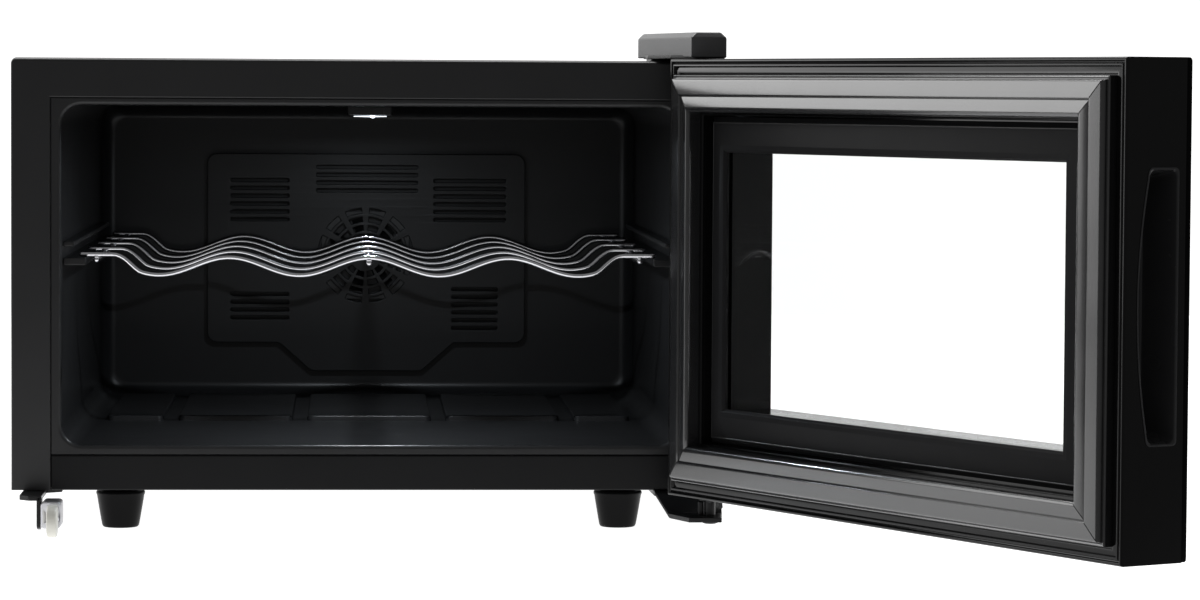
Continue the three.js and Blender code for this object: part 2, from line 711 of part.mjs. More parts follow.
function lockBracket() {
  const plan = polygon([
    [-208, -28], [-202, -34], [-194.6, -34], [-194.6, 14], [-186, 20], [-186, 40], [-208, 40],
  ]);
  const tab = polygon([[-34, -1], [-34, -19], [-27, -21], [-20, -19], [-14, -8], [-14, -1]]);
  const screwHole = rod(1.9, -5, 1, 12).translate(-200, 30, 0);
  return cut(join(alongZ(plan, -3.1, -GAP), alongX(tab, -197.4, -195.2)), screwHole);
}

function lockBody() {
  const l = LOCK;
  const housing = alongY(roundedRect(l.left, l.right, l.low, l.high, 2), l.front, l.back, 3);
  const slack = BOLT.halfWidth + GAP;
  const channel = box(l.x - slack, l.x + slack, BOLT.y0 - GAP, BOLT.y1 + GAP, BOLT.low - 0.6, l.high + 2);
  const bore = alongY(circle(l.x, l.z, l.barrel + GAP, new THREE.Shape()), l.front - 1, BOLT.y0, 8);
  return cut(housing, channel, bore);
}

function lockBarrel() {
  const l = LOCK;
  const plug = alongY(circle(l.x, l.z, l.barrel, new THREE.Shape()), l.front - 1, BOLT.y0 - 0.6, 8);
  const wide = KEY.bladeHalf + GAP;
  const tall = KEY.bladeHeight + GAP;
  return cut(plug, box(l.x - wide, l.x + wide, l.front - 3, KEY.tip + GAP, l.z - tall, l.z + tall));
}

function lockBolt() {
  const b = BOLT;
  return box(LOCK.x - b.halfWidth, LOCK.x + b.halfWidth, b.y0, b.y1, b.low, b.high);
}

function lockKey() {
  const l = LOCK;
  const k = KEY;
  const bow = rod(k.bowRadius, -k.bowThickness / 2, k.bowThickness / 2, 28).rotateY(Math.PI / 2);
  bow.translate(l.x, k.bowY, l.z);
  const shoulder = box(l.x - 1.6, l.x + 1.6, k.bowY + 7, l.front - 2, l.z - 3.2, l.z + 3.2);
  const [x0, x1] = [l.x - k.bladeHalf, l.x + k.bladeHalf];
  const blade = box(x0, x1, k.bowY, k.tip, l.z - k.bladeHeight, l.z + k.bladeHeight);
  return cut(join(bow, shoulder, blade), box(l.x - 5, l.x + 5, k.bowY - 6.5, k.bowY - 3.5, l.z - 3, l.z + 3));
}

// ---------------------------------------------------------------- door, modelled closed
const doorY = (t) => -(SEAL + t);
const doorTop = DOOR.bottom + DOOR.height;

// The handle pocket's D outline, in Y and Z: straight towards the outer glass, bulging towards the seal.
function handleOutline(grow) {
  const h = HANDLE;
  const near = doorY(h.near - grow);
  const far = doorY(h.far + grow);
  const bulge = doorY(2 * h.bulge - h.near - grow);
  const low = h.low - grow;
  const high = h.high + grow;
  const shape = new THREE.Shape();
  shape.moveTo(far, low + 3);
  shape.quadraticCurveTo(far, low, far + 3, low);
  shape.lineTo(near - 3, low);
  shape.quadraticCurveTo(near, low, near + 0.3, low + 6);
  shape.quadraticCurveTo(bulge, (low + high) / 2, near + 0.3, high - 6);
  shape.quadraticCurveTo(near, high, near - 3, high);
  shape.lineTo(far + 3, high);
  shape.quadraticCurveTo(far, high, far, high - 3);
  shape.closePath();
  return shape;
}

const handleVoid = (grow) => alongX(handleOutline(grow), -HALF - 1, -HALF + HANDLE.depth + grow, 8);

// The slot in the door's lower edge that the lock's bolt enters.
function keeperVoid(grow) {
  const k = KEEPER;
  const half = k.halfWidth + grow;
  return box(k.x - half, k.x + half, k.y0 - grow, k.y1 + grow, -1, k.high + grow);
}

function bushVoids(grow) {
  const deep = BUSH.length + grow;
  const spans = [[-1, DOOR.bottom + deep], [doorTop - deep, doorTop + 1]];
  return spans.map(([low, high]) => rod(BUSH.outer + grow, low, high, 20).translate(PIN.x, PIN.y, 0));
}

function doorFrame() {
  const f = FRAME;
  const w = f.wall;
  const shell = mitredFrame([
    [0, 0], [f.band, 0], [f.band, f.step], [f.sill, f.step], [f.sill, f.rear], [f.sill - w, f.rear],
    [f.sill - w, f.step + w], [f.band - w, f.step + w], [f.band - w, w], [w, w], [w, f.rear], [0, f.rear],
  ]);
  return cut(shell, handleVoid(GAP), keeperVoid(0), ...bushVoids(GAP));
}

function doorFoam() {
  const f = FRAME;
  const w = f.wall + 0.4;
  const core = mitredFrame([
    [w, w], [f.band - w, w], [f.band - w, f.step + w], [f.sill - w, f.step + w],
    [f.sill - w, f.rear - 0.1], [w, f.rear - 0.1],
  ]);
  const recess = box(-62, 62, doorY(f.rear + 1), doorY(29), doorTop - 50, doorTop - 8);
  return cut(core, handleVoid(HANDLE.wall), keeperVoid(2), ...bushVoids(0.7), recess);
}

const glassRetainer = () => mitredFrame([
  [34, 10.1], [37.5, 7.6], [50.5, 3.5], [53.2, 3.5], [54.7, 5], [54.7, 6.9], [37.7, 7.8], [37.7, 10.1],
]);

// Two soft humps with a crease between them.
const gasket = () => mitredFrame([
  [9.5, -GAP], [9.5, -4.2], [11, -6.4], [13.5, -7.6], [16.5, -7.5], [19.3, -5.6],
  [22, -7], [25, -7.1], [28, -5.6], [29.5, -3], [29.5, -GAP],
]);

function pane(inset, near, far, corner) {
  const face = roundedRect(-HALF + inset, HALF - inset, DOOR.bottom + inset, doorTop - inset, corner);
  return alongY(face, doorY(far), doorY(near), 3);
}

const frontMask = () => mitredFrame([
  [MASK.inset, MASK.near], [MASK.aperture, MASK.near], [MASK.aperture, MASK.far], [MASK.inset, MASK.far],
]);

function glassSpacer() {
  const s = FRAME.sill + GAP;
  const { step, rear } = FRAME;
  return mitredFrame([[s, step], [s + 1.2, step], [s + 1.2, rear], [s, rear]]);
}

const handleInsert = () => cut(
  alongX(handleOutline(0), -HALF + 0.2, -HALF + HANDLE.depth, 8),
  alongX(handleOutline(-HANDLE.wall), -HALF - 1, -HALF + HANDLE.depth - HANDLE.wall, 8),
);

// The touch controls stand behind the outer glass, below the door's top edge.
const controlBoard = () => box(-56, 56, doorY(31.6), doorY(30), doorTop - 44, doorTop - 14);

const displayModule = () => join(
  box(-20, 20, doorY(38.3), doorY(31.9), doorTop - 38, doorTop - 18),
  box(-46, -30, doorY(37), doorY(31.9), doorTop - 34, doorTop - 22),
  box(-31, -19, doorY(33.5), doorY(31.9), doorTop - 30, doorTop - 26),
);

function bush(z) {
  const sleeve = rod(BUSH.outer, z, z + BUSH.length - 0.2, 24);
  return cut(sleeve, rod(BUSH.inner, z - 1, z + BUSH.length + 1, 20)).translate(PIN.x, PIN.y, 0);
}

// The closer hangs under the door's hinge corner. It is drawn where it stands with the door open.
function doorCloser() {
  const c = CLOSER;
  const from = c.from * DEG;
  const to = c.to * DEG;
  const hook = new THREE.Shape();
  hook.absarc(0, 0, c.outer, from, to, false);
  hook.absarc(0, 0, c.inner, to, from, true);
  hook.closePath();
  const web = new THREE.Shape();
  web.absarc(0, 0, c.outer, from, to, false);
  web.lineTo(0, 0);
  web.closePath();
  const plate = join(rod(c.collar, c.plateLow, c.top, 24), alongZ(web, c.plateLow, c.top, 8));
  const bore = rod(BUSH.inner, c.plateLow - 2, 1, 20);
  return join(cut(plate, bore), alongZ(hook, c.hookLow, c.top - 0.9, 8)).translate(PIN.x, PIN.y, 0);
}

// ---------------------------------------------------------------- shelf
function wireShelf() {
  const s = SHELF;
  const mid = (s.crest + s.trough) / 2;
  const swing = (s.crest - s.trough) / 2;
  const wave = (x) => mid + swing * Math.cos((x - s.centre) / s.pitch * 2 * Math.PI);
  const reach = 1.83 * s.pitch;
  const points = [];
  const steps = 44;
  for (let k = 0; k <= steps; k += 1) {
    const x = s.centre - reach + (2 * reach * k) / steps;
    const blend = Math.max(0, (Math.abs(x - s.centre) - 1.62 * s.pitch) / (0.21 * s.pitch));
    const ease = blend * blend * (3 - 2 * blend);
    points.push([x, wave(x) * (1 - ease) + s.plateau * ease]);
  }
  points.unshift([s.left, s.plateau]);
  points.push([s.right, s.plateau]);
  const pieces = [];
  const section = circle(0, 0, s.wireRadius, new THREE.Shape());
  for (let w = 0; w < s.wires; w += 1) {
    const y = s.front + ((s.back - s.front) * w) / (s.wires - 1);
    const route = new THREE.CatmullRomCurve3(points.map(([x, z]) => new THREE.Vector3(x, y, z)));
    pieces.push(new THREE.ExtrudeGeometry(section, { steps: 38, extrudePath: route, curveSegments: 3 }));
  }
  s.rodX.forEach((x) => {
    const top = x === 0 ? s.crest : s.plateau;
    const z = top - s.wireRadius - s.rodRadius + 0.5;
    const bar = rod(s.rodRadius, s.front - 2.2, s.back + 2.2, 10).rotateX(-Math.PI / 2);
    pieces.push(bar.translate(x + s.centre, 0, z));
  });
  return join(...pieces);
}

// ---------------------------------------------------------------- screws
function screw({ shank: radius, head, length }) {
  return turned([
    [0, -length], [radius, -length], [radius, 0],
    [head, 0], [head, head * 0.35], [head * 0.55, head * 0.6], [0, head * 0.6],
  ], 10);
}

// ---------------------------------------------------------------- assembly
const m = MATERIALS;
add(cabinet, 'outer_shell', outerShell(), m.paint);
add(cabinet, 'front_bottom_rail', frontRail(), m.paint);
add(cabinet, 'bottom_panel', bottomPanel(), m.paint);
add(cabinet, 'rear_panel', rearPanel(), m.paint);
add(cabinet, 'rear_fan_guard', rearFanGuard(), m.darkPlastic);
add(cabinet, 'inner_liner', innerLiner(), m.darkPlastic);
add(cabinet, 'cabinet_foam', insulation(), m.foam);
add(cabinet, 'evaporator_cover', evaporatorCover(), m.darkPlastic);
add(cabinet, 'cold_sink', finnedSink(COLD_SINK), m.aluminium);
add(cabinet, 'cold_block', axisBlock(COLD_BLOCK), m.aluminium);
add(cabinet, 'peltier_module', axisBlock(MODULE), m.ceramic);
add(cabinet, 'hot_sink', finnedSink(HOT_SINK), m.aluminium);
add(cabinet, 'inner_fan_frame', fanFrame(INNER_FAN), m.darkPlastic);
add(cabinet, 'rear_fan_frame', fanFrame(REAR_FAN), m.darkPlastic);
add(cabinet, 'drain_tube', cut(drainPath(DRAIN.outer), drainPath(DRAIN.inner)), m.rubber);
add(cabinet, 'drip_tray', dripTray(), m.darkPlastic);
add(cabinet, 'power_supply_board', powerBoard(), m.board);
add(cabinet, 'transformer', transformer(), m.ivory);
add(cabinet, 'supply_capacitor', capacitor(), m.blackSteel);
add(cabinet, 'power_inlet', powerInlet(), m.darkPlastic);
add(cabinet, 'lamp_lens', lampLens(), m.lens);
add(cabinet, 'lamp_board', lampBoard(), m.board);
add(cabinet, 'temperature_probe', temperatureProbe(), m.steel);

const corners = [
  ['front_left', -1, FOOT.front], ['front_right', 1, FOOT.front],
  ['rear_left', -1, FOOT.back], ['rear_right', 1, FOOT.back],
];
corners.forEach(([place, side, y]) => {
  add(cabinet, `foot_${place}`, foot(), m.rubber).position.set(side * FOOT.x, y, 0);
});

add(cabinet, 'top_hinge_plate', hingePlate(), m.blackSteel);
add(cabinet, 'top_hinge_pin', topPin(), m.steel);
add(cabinet, 'top_hinge_cover', hingeCover(), m.darkPlastic);
add(cabinet, 'bottom_hinge_bracket', hingeBracket(), m.blackSteel);
add(cabinet, 'bottom_hinge_pin', bottomPin(), m.steel);
add(cabinet, 'lock_bracket', lockBracket(), m.blackSteel);
add(cabinet, 'lock_body', lockBody(), m.steel);
add(cabinet, 'lock_barrel', lockBarrel(), m.steel);
add(cabinet, 'lock_bolt', lockBolt(), m.steel);
add(cabinet, 'lock_key', lockKey(), m.ivory);

add(door, 'door_frame', doorFrame(), m.glossPlastic);
add(door, 'door_foam', doorFoam(), m.foam);
add(door, 'glass_retainer', glassRetainer(), m.darkPlastic);
add(door, 'door_gasket', gasket(), m.gasket);
add(door, 'inner_glass', pane(GLASS.innerInset, GLASS.innerNear, GLASS.innerFar, 1), m.glass);
add(door, 'glass_spacer', glassSpacer(), m.darkPlastic);
add(door, 'front_mask', frontMask(), m.darkPlastic);
add(door, 'outer_glass', pane(GLASS.outerInset, GLASS.outerNear, GLASS.outerFar, 2), m.glass);
add(door, 'handle_insert', handleInsert(), m.glossPlastic);
add(door, 'control_board', controlBoard(), m.board);
add(door, 'display_module', displayModule(), m.darkPlastic);
add(door, 'bottom_hinge_bush', bush(DOOR.bottom), m.ivory);
add(door, 'top_hinge_bush', bush(doorTop - BUSH.length + 0.2), m.ivory);

add(cabinet, 'wire_shelf', wireShelf(), m.chrome);
[['inner_fan_rotor', INNER_FAN.wheel], ['rear_fan_rotor', REAR_FAN.wheel]].forEach(([name, wheel]) => {
  add(cabinet, name, fanRotor(wheel), m.darkPlastic).position.set(FAN_X, wheel.front, FAN_Z);
});
add(cabinet, 'door_closer', doorCloser(), m.darkPlastic);

const headGap = 0.4;
rearScrewPlaces.forEach(([x, z], k) => {
  const geometry = screw(REAR_SCREW).rotateX(-Math.PI / 2);
  add(cabinet, `rear_screw_${k + 1}`, geometry, m.steel).position.set(x, CABINET.depth + headGap, z);
});
BRACKET_SCREW.places.forEach(([x, y], k) => {
  const geometry = screw(BRACKET_SCREW).rotateX(Math.PI);
  const z = -GAP - ARM.thickness - headGap;
  add(cabinet, `bracket_screw_${k + 1}`, geometry, m.steel).position.set(x, y, z);
});

// The door swings about its pins; the closer is already drawn in the open place.
door.position.set(PIN.x, PIN.y, 0);
door.rotation.z = DOOR.openAngle * DEG;
door.children.forEach((mesh) => mesh.position.set(-PIN.x, -PIN.y, 0));
cabinet.add(door);

// The object's own zero point: floor level, in the middle of everything with the door open.
function swungCorner(t) {
  const corner = new THREE.Vector2(-HALF - PIN.x, doorY(t) - PIN.y);
  return corner.rotateAround(new THREE.Vector2(), DOOR.openAngle * DEG);
}

const swung = swungCorner(0);
const swungOuter = swungCorner(DOOR.thickness);
const rearEnd = CABINET.depth + GAP + 2.2;
const group = new THREE.Group();
cabinet.position.set((HALF - PIN.x - swungOuter.x) / 2, -(rearEnd + PIN.y + swung.y) / 2, FOOT.height);
group.add(cabinet);

export default group;
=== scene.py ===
# Wine cooler: its looks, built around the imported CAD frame. Lengths in the builders below are
# millimetres in the cabinet's own space: x from its middle, y from its front, z from its underside.
# The door is described closed, and DOOR swings it open to where it stands at rest.
import json
import math

import bmesh
import bpy
from mathutils import Matrix, Vector


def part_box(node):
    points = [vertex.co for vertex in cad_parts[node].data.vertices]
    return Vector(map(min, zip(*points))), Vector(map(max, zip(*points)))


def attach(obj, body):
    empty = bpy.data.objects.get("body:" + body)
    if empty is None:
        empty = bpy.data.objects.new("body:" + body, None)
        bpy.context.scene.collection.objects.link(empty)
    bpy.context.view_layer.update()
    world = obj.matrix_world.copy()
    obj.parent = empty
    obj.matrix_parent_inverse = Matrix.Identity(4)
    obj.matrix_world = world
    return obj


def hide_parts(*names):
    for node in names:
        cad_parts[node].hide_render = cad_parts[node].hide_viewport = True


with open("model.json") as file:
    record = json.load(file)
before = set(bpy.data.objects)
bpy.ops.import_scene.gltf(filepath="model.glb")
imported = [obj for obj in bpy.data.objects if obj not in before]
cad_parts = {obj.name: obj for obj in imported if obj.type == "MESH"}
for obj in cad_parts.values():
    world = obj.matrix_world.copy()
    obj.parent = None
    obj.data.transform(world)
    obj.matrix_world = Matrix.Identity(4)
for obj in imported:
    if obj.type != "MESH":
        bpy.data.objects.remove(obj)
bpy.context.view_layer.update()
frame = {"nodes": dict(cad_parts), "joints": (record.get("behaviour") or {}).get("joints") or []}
scene = bpy.context.scene

# ---------------------------------------------------------------- the shared frame
shell_low, shell_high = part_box("outer_shell")
MM = 0.001
MERGE = 3e-6
ORIGIN = Vector(((shell_low.x + shell_high.x) / 2, shell_low.y, shell_low.z))
hinge = next(j for j in frame["joints"] if j["name"] == "door_hinge")
REST_SWING = -math.radians(hinge["range_deg"][0])
CAB = Matrix.Translation(ORIGIN) @ Matrix.Scale(MM, 4)
HINGE_AT = Vector((hinge["pos_m"][0], hinge["pos_m"][1], 0))
PIN_X, PIN_Y = ((HINGE_AT - ORIGIN) / MM)[:2]
PIN = (PIN_X, PIN_Y, 0)
SWING = Matrix.Translation(HINGE_AT) @ Matrix.Rotation(REST_SWING, 4, "Z") @ Matrix.Translation(-HINGE_AT)
DOOR = SWING @ CAB

HALF, H, D = 215.0, 259.0, 455.0  # half width, height and depth of the cabinet
FLANGE_SIDE, FLANGE_TOP, RAIL_TOP = 23.5, 23.4, 21.1
DOOR_LOW, DOOR_HIGH = 0.3, 260.3
SEAL = 8.0  # gap between cabinet and door, filled by the gasket

# ---------------------------------------------------------------- camera
CAMERA_AT = Vector((-12.1032, -2498.8007, 242.406))
YAW, PITCH, ROLL = 0.06, -0.0508, 0.0058
SENSOR_MM, FOCAL_MM = 36, 124.6605


def add_object(name, data):
    obj = bpy.data.objects.new(name, data)
    scene.collection.objects.link(obj)
    return obj


def make_camera():
    data = bpy.data.cameras.new("camera")
    data.sensor_width, data.lens = SENSOR_MM, FOCAL_MM
    data.clip_start, data.clip_end = 0.05, 100
    camera = add_object("camera", data)
    forward = Vector((math.sin(YAW) * math.cos(PITCH), math.cos(YAW) * math.cos(PITCH), math.sin(PITCH)))
    right0 = Vector((math.cos(YAW), -math.sin(YAW), 0))
    up0 = right0.cross(forward)
    right = math.cos(ROLL) * right0 + math.sin(ROLL) * up0
    up = math.cos(ROLL) * up0 - math.sin(ROLL) * right0
    turn = Matrix((right, up, -forward)).transposed().to_4x4()
    camera.matrix_world = Matrix.Translation(CAB @ CAMERA_AT) @ turn
    scene.camera = camera


make_camera()

# ---------------------------------------------------------------- materials


def set_inputs(node, **values):
    for key, value in values.items():
        node.inputs[key.replace("_", " ")].default_value = value


def make_node(tree, kind, **values):
    node = tree.nodes.new("ShaderNode" + kind)
    set_inputs(node, **values)
    return node


def colour_ramp(tree, source, stops):
    """stops is [(place from 0 to 1, (r, g, b))]."""
    node = make_node(tree, "ValToRGB")
    elements = node.color_ramp.elements
    while len(elements) < len(stops):
        elements.new(0.5)
    for element, (at, colour) in zip(elements, stops):
        element.position = at
        element.color = (*colour, 1)
    tree.links.new(source, node.inputs["Fac"])
    return node.outputs["Color"]


class Nodes:
    """A small node-tree builder for one material."""

    def __init__(self, name):
        self.material = bpy.data.materials.new(name)
        self.material.use_nodes = True
        self.tree = self.material.node_tree
        self.shader = self.tree.nodes["Principled BSDF"]
        self.coords = make_node(self.tree, "TexCoord").outputs["Object"]

    def link(self, a, b):
        self.tree.links.new(a, b)

    def drive(self, source, name):
        self.link(source, self.shader.inputs[name])

    def noise(self, scale, detail=2.0, stretch=None):
        node = make_node(self.tree, "TexNoise", Scale=scale, Detail=detail)
        source = self.coords
        if stretch:
            mapping = make_node(self.tree, "Mapping", Scale=stretch)
            self.link(source, mapping.inputs["Vector"])
            source = mapping.outputs["Vector"]
        self.link(source, node.inputs["Vector"])
        return node.outputs["Fac"]

    def spread(self, source, low, high):
        """Stretches a noise, which is mostly between 0.3 and 0.7, over low to high."""
        node = make_node(self.tree, "MapRange", From_Min=0.3, From_Max=0.7, To_Min=low, To_Max=high)
        self.link(source, node.inputs["Value"])
        return node.outputs["Result"]

    def bump(self, source, strength, distance):
        node = make_node(self.tree, "Bump", Strength=strength, Distance=distance)
        self.link(source, node.inputs["Height"])
        self.drive(node.outputs["Normal"], "Normal")

    def set(self, **values):
        set_inputs(self.shader, **values)


MOTTLE = 30  # scale of the slow changes in colour and gloss


def surface(name, dark, light, rough, metallic=0.0, specular=0.5, grain=1800, bump=0.05, depth=1e-5,
            stretch=None, coat=0.0):
    """A moulded, painted or metal surface: colour mottle, uneven gloss and a fine grain."""
    n = Nodes(name)
    n.set(Metallic=metallic, Specular_IOR_Level=specular, Coat_Weight=coat, Coat_Roughness=0.12)
    n.drive(colour_ramp(n.tree, n.noise(MOTTLE, 3), [(0.3, dark), (0.7, light)]), "Base Color")
    n.drive(n.spread(n.noise(MOTTLE * 1.7, 2, stretch), *rough), "Roughness")
    if bump:
        n.bump(n.noise(grain, 2, stretch), bump, depth)
    return n.material


def grey(value):
    return (value, value, value * 1.04)


M = {
    "paint": surface("satin_black_paint", grey(0.014), grey(0.0155), (0.33, 0.36), specular=0.35),
    # The rail uses the wrap's satin paint again, made darker and less glossy: painted shade on the rail.
    "rail": surface("rail_paint_with_painted_shade", grey(0.0085), grey(0.0095), (0.33, 0.36), specular=0.1),
    "liner": surface("liner_plastic", grey(0.0165), grey(0.018), (0.30, 0.32), specular=0.27, bump=0.03),
    "trim": surface("dark_plastic", grey(0.006), grey(0.008), (0.33, 0.37), specular=0.4, grain=1500, bump=0.1),
    "cap": surface("hinge_cap_plastic", grey(0.05), grey(0.055), (0.22, 0.25), specular=0.45, grain=1500),
    "retainer": surface("retainer_plastic", grey(0.0115), grey(0.013), (0.36, 0.38), specular=0.03),
    "gloss": surface("gloss_black_plastic", grey(0.003), grey(0.0035), (0.10, 0.12), specular=0.2, bump=0.02),
    "gasket": surface("vinyl_gasket", grey(0.012), grey(0.015), (0.20, 0.23), specular=0.8, bump=0.02, coat=0.35),
    "chrome": surface("polished_chrome", grey(0.62), grey(0.66), (0.10, 0.13), metallic=1.0, bump=0.0),
    "zinc": surface("zinc_plate", grey(0.5), grey(0.6), (0.28, 0.36), metallic=1.0),
    "aluminium": surface("extruded_aluminium", grey(0.6), grey(0.68), (0.3, 0.38), metallic=1.0, bump=0.15,
                         stretch=(1, 1, 0.05)),
    "black_metal": surface("black_painted_steel", grey(0.006), grey(0.008), (0.27, 0.31), specular=0.2),
    "foot": surface("foot_plastic", grey(0.0025), grey(0.0035), (0.34, 0.38), specular=0.1, grain=1400, bump=0.1),
    "tube": surface("drain_rubber", grey(0.01), grey(0.02), (0.6, 0.7), grain=900, bump=0.2, depth=2e-5),
    "ivory": surface("ivory_plastic", (0.62, 0.61, 0.55), (0.68, 0.67, 0.61), (0.34, 0.4)),
    "ceramic": surface("ceramic", (0.72, 0.71, 0.68), (0.8, 0.79, 0.76), (0.5, 0.6), bump=0.1, depth=2e-5),
    "foam": surface("rigid_foam", (0.03, 0.029, 0.028), (0.042, 0.041, 0.04), (0.85, 0.95), grain=400,
                    bump=0.6, depth=2e-4),
    "board": surface("circuit_board", (0.02, 0.12, 0.05), (0.03, 0.17, 0.08), (0.35, 0.45)),
    "pocket": surface("handle_plastic", grey(0.03), grey(0.034), (0.24, 0.28), specular=0.25),
    "mask": surface("black_enamel", grey(0.002), grey(0.003), (0.2, 0.24), specular=0.05, bump=0.0),
    "spacer": surface("glass_spacer_profile", grey(0.003), grey(0.004), (0.14, 0.18), specular=0.07, bump=0.02),
    # glass_edge is near black for the panes' edge faces: painted reflection of the dark door frame.
    "glass_edge": surface("glass_edge_painted_dark", grey(0.004), grey(0.006), (0.55, 0.6), specular=0.0, bump=0.1),
    "lamp_body": surface("lamp_housing", grey(0.005), grey(0.007), (0.25, 0.3), specular=0.3),
}


def make_glass():
    n = Nodes("clear_glass")
    n.set(Base_Color=(0.93, 0.938, 0.936, 1), Transmission_Weight=1.0, IOR=1.22)
    n.drive(n.spread(n.noise(25, 3), 0.0, 0.02), "Roughness")
    return n.material


def make_lens():
    n = Nodes("lamp_lens")
    n.set(Base_Color=(0.9, 0.95, 1, 1), Emission_Strength=3.0)
    glow = [(0.2, (0.75, 0.85, 1)), (0.8, (0.9, 0.95, 1))]
    n.drive(colour_ramp(n.tree, n.noise(400, 2), glow), "Emission Color")
    n.drive(n.spread(n.noise(300, 2), 0.2, 0.35), "Roughness")
    return n.material


M["glass"] = make_glass()
M["lens"] = make_lens()

# ---------------------------------------------------------------- mesh building


def finish_piece(obj, material, body, replaces=None):
    obj.data.materials.clear()
    obj.data.materials.append(M[material])
    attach(obj, body)
    if replaces:
        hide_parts(replaces)


def turn_points(steps):
    """Angles all round, in radians."""
    return [2 * math.pi * k / steps for k in range(steps)]


SHARP = 32  # edges bent more than this many degrees stay crisp


def mesh_object(name, verts, faces, place=CAB, sharp=SHARP):
    mesh = bpy.data.meshes.new(name)
    mesh.from_pydata([tuple(v) for v in verts], [], faces)
    mesh.transform(place)
    work = bmesh.new()
    work.from_mesh(mesh)
    bmesh.ops.remove_doubles(work, verts=work.verts, dist=MERGE)
    bmesh.ops.recalc_face_normals(work, faces=work.faces)
    if all(edge.is_manifold for edge in work.edges) and work.calc_volume(signed=True) < 0:
        bmesh.ops.reverse_faces(work, faces=work.faces)
    work.to_mesh(mesh)
    work.free()
    obj = add_object(name, mesh)
    smooth(obj, sharp)
    return obj


def smooth(obj, sharp=SHARP):
    """Smooth shading that keeps wide flat faces flat beside their rounded edges."""
    obj.data.shade_smooth()
    obj.data.set_sharp_from_angle(angle=math.radians(sharp))
    obj.modifiers.clear()
    normals = obj.modifiers.new("normals", "WEIGHTED_NORMAL")
    normals.mode = "FACE_AREA"
    normals.weight = 100
    normals.keep_sharp = True


def loft(rings, closed=True, around=False):
    """Joins equal rings in turn, as (verts, faces). It is capped unless it runs round to its start."""
    n = len(rings[0])
    faces = []
    for s in range(len(rings) if around else len(rings) - 1):
        a, b = s * n, (s + 1) % len(rings) * n
        for k in range(n if closed else n - 1):
            m = (k + 1) % n
            faces.append((a + k, a + m, b + m, b + k))
    if not around:
        faces.append(tuple(range(n))[::-1])
        faces.append(tuple((len(rings) - 1) * n + k for k in range(n)))
    return [p for ring in rings for p in ring], faces


def fillet(points, radius, steps=4):
    """A closed outline with its corners rounded; radius is one number or one for each point."""
    out = []
    count = len(points)
    for k, point in enumerate(points):
        r = radius[k] if isinstance(radius, (list, tuple)) else radius
        p = Vector(point)
        a, b = Vector(points[k - 1]) - p, Vector(points[(k + 1) % count]) - p
        if r <= 0 or a.length < 1e-6 or b.length < 1e-6:
            out.append(p)
            continue
        la, lb = a.length, b.length
        a.normalize()
        b.normalize()
        half = math.acos(max(-1, min(1, a.dot(b)))) / 2
        if abs(half - math.pi / 2) < 0.01:
            out.append(p)
            continue
        reach = min(r / math.tan(half), 0.49 * la, 0.49 * lb)
        r = reach * math.tan(half)
        centre = p + (a + b).normalized() * (r / math.sin(half))
        start, end = p + a * reach - centre, p + b * reach - centre
        sweep = start.angle_signed(end)
        for s in range(steps + 1):
            turn = -sweep * s / steps
            c, q = math.cos(turn), math.sin(turn)
            out.append(centre + Vector((start.x * c - start.y * q, start.x * q + start.y * c)))
    return [tuple(v) for v in out]


def rectangle(x0, x1, y0, y1, radius=0, steps=4):
    corners = [(x0, y0), (x1, y0), (x1, y1), (x0, y1)]
    return fillet(corners, radius, steps) if radius else corners


def circle(x, y, r, steps=32):
    return [(x + r * math.cos(t), y + r * math.sin(t)) for t in turn_points(steps)]


AXES = {
    "z": lambda u, v, w: (u, v, w),
    "y": lambda u, v, w: (u, w, v),
    "x": lambda u, v, w: (w, u, v),
}


def plate(name, outline, holes, low, high, axis="y", edge=0.3, place=CAB, sharp=SHARP, segments=2):
    """A flat plate with holes and softly rounded edges, square to an axis."""
    curve = bpy.data.curves.new(name, "CURVE")
    curve.dimensions = "2D"
    curve.fill_mode = "BOTH"
    for ring in [outline, *holes]:
        spline = curve.splines.new("POLY")
        spline.points.add(len(ring) - 1)
        for point, (u, v) in zip(spline.points, ring):
            point.co = (u, v, 0, 1)
        spline.use_cyclic_u = True
    curve.extrude = (high - low) / 2 - edge
    curve.bevel_depth = edge
    curve.bevel_resolution = segments - 1
    curve.offset = -edge
    source = add_object(name, curve)
    graph = bpy.context.evaluated_depsgraph_get()
    mesh = bpy.data.meshes.new_from_object(source.evaluated_get(graph))
    verts = [AXES[axis](v.co.x, v.co.y, v.co.z + (low + high) / 2) for v in mesh.vertices]
    faces = [tuple(p.vertices) for p in mesh.polygons]
    bpy.data.objects.remove(source)
    bpy.data.meshes.remove(mesh)
    return mesh_object(name, verts, faces, place, sharp)


def prism(name, outline, low, high, axis, edge):
    return plate(name, outline, [], low, high, axis, edge, segments=3)


def cutter(name, outline, low, high, axis, place=CAB):
    """A sharp-edged solid for carve."""
    return plate(name, outline, [], low, high, axis, 0.01, place)


def lathe(name, profile, centre, axis="z", steps=40, place=CAB, bored=False):
    """profile is [(radius, distance along the axis)]; a bored piece's profile runs round to its start."""
    rings = []
    for r, w in profile:
        points = [AXES[axis](r * math.cos(t), r * math.sin(t), w) for t in turn_points(steps)]
        rings.append([tuple(c + q for c, q in zip(centre, point)) for point in points])
    return mesh_object(name, *loft(rings, around=bored), place)


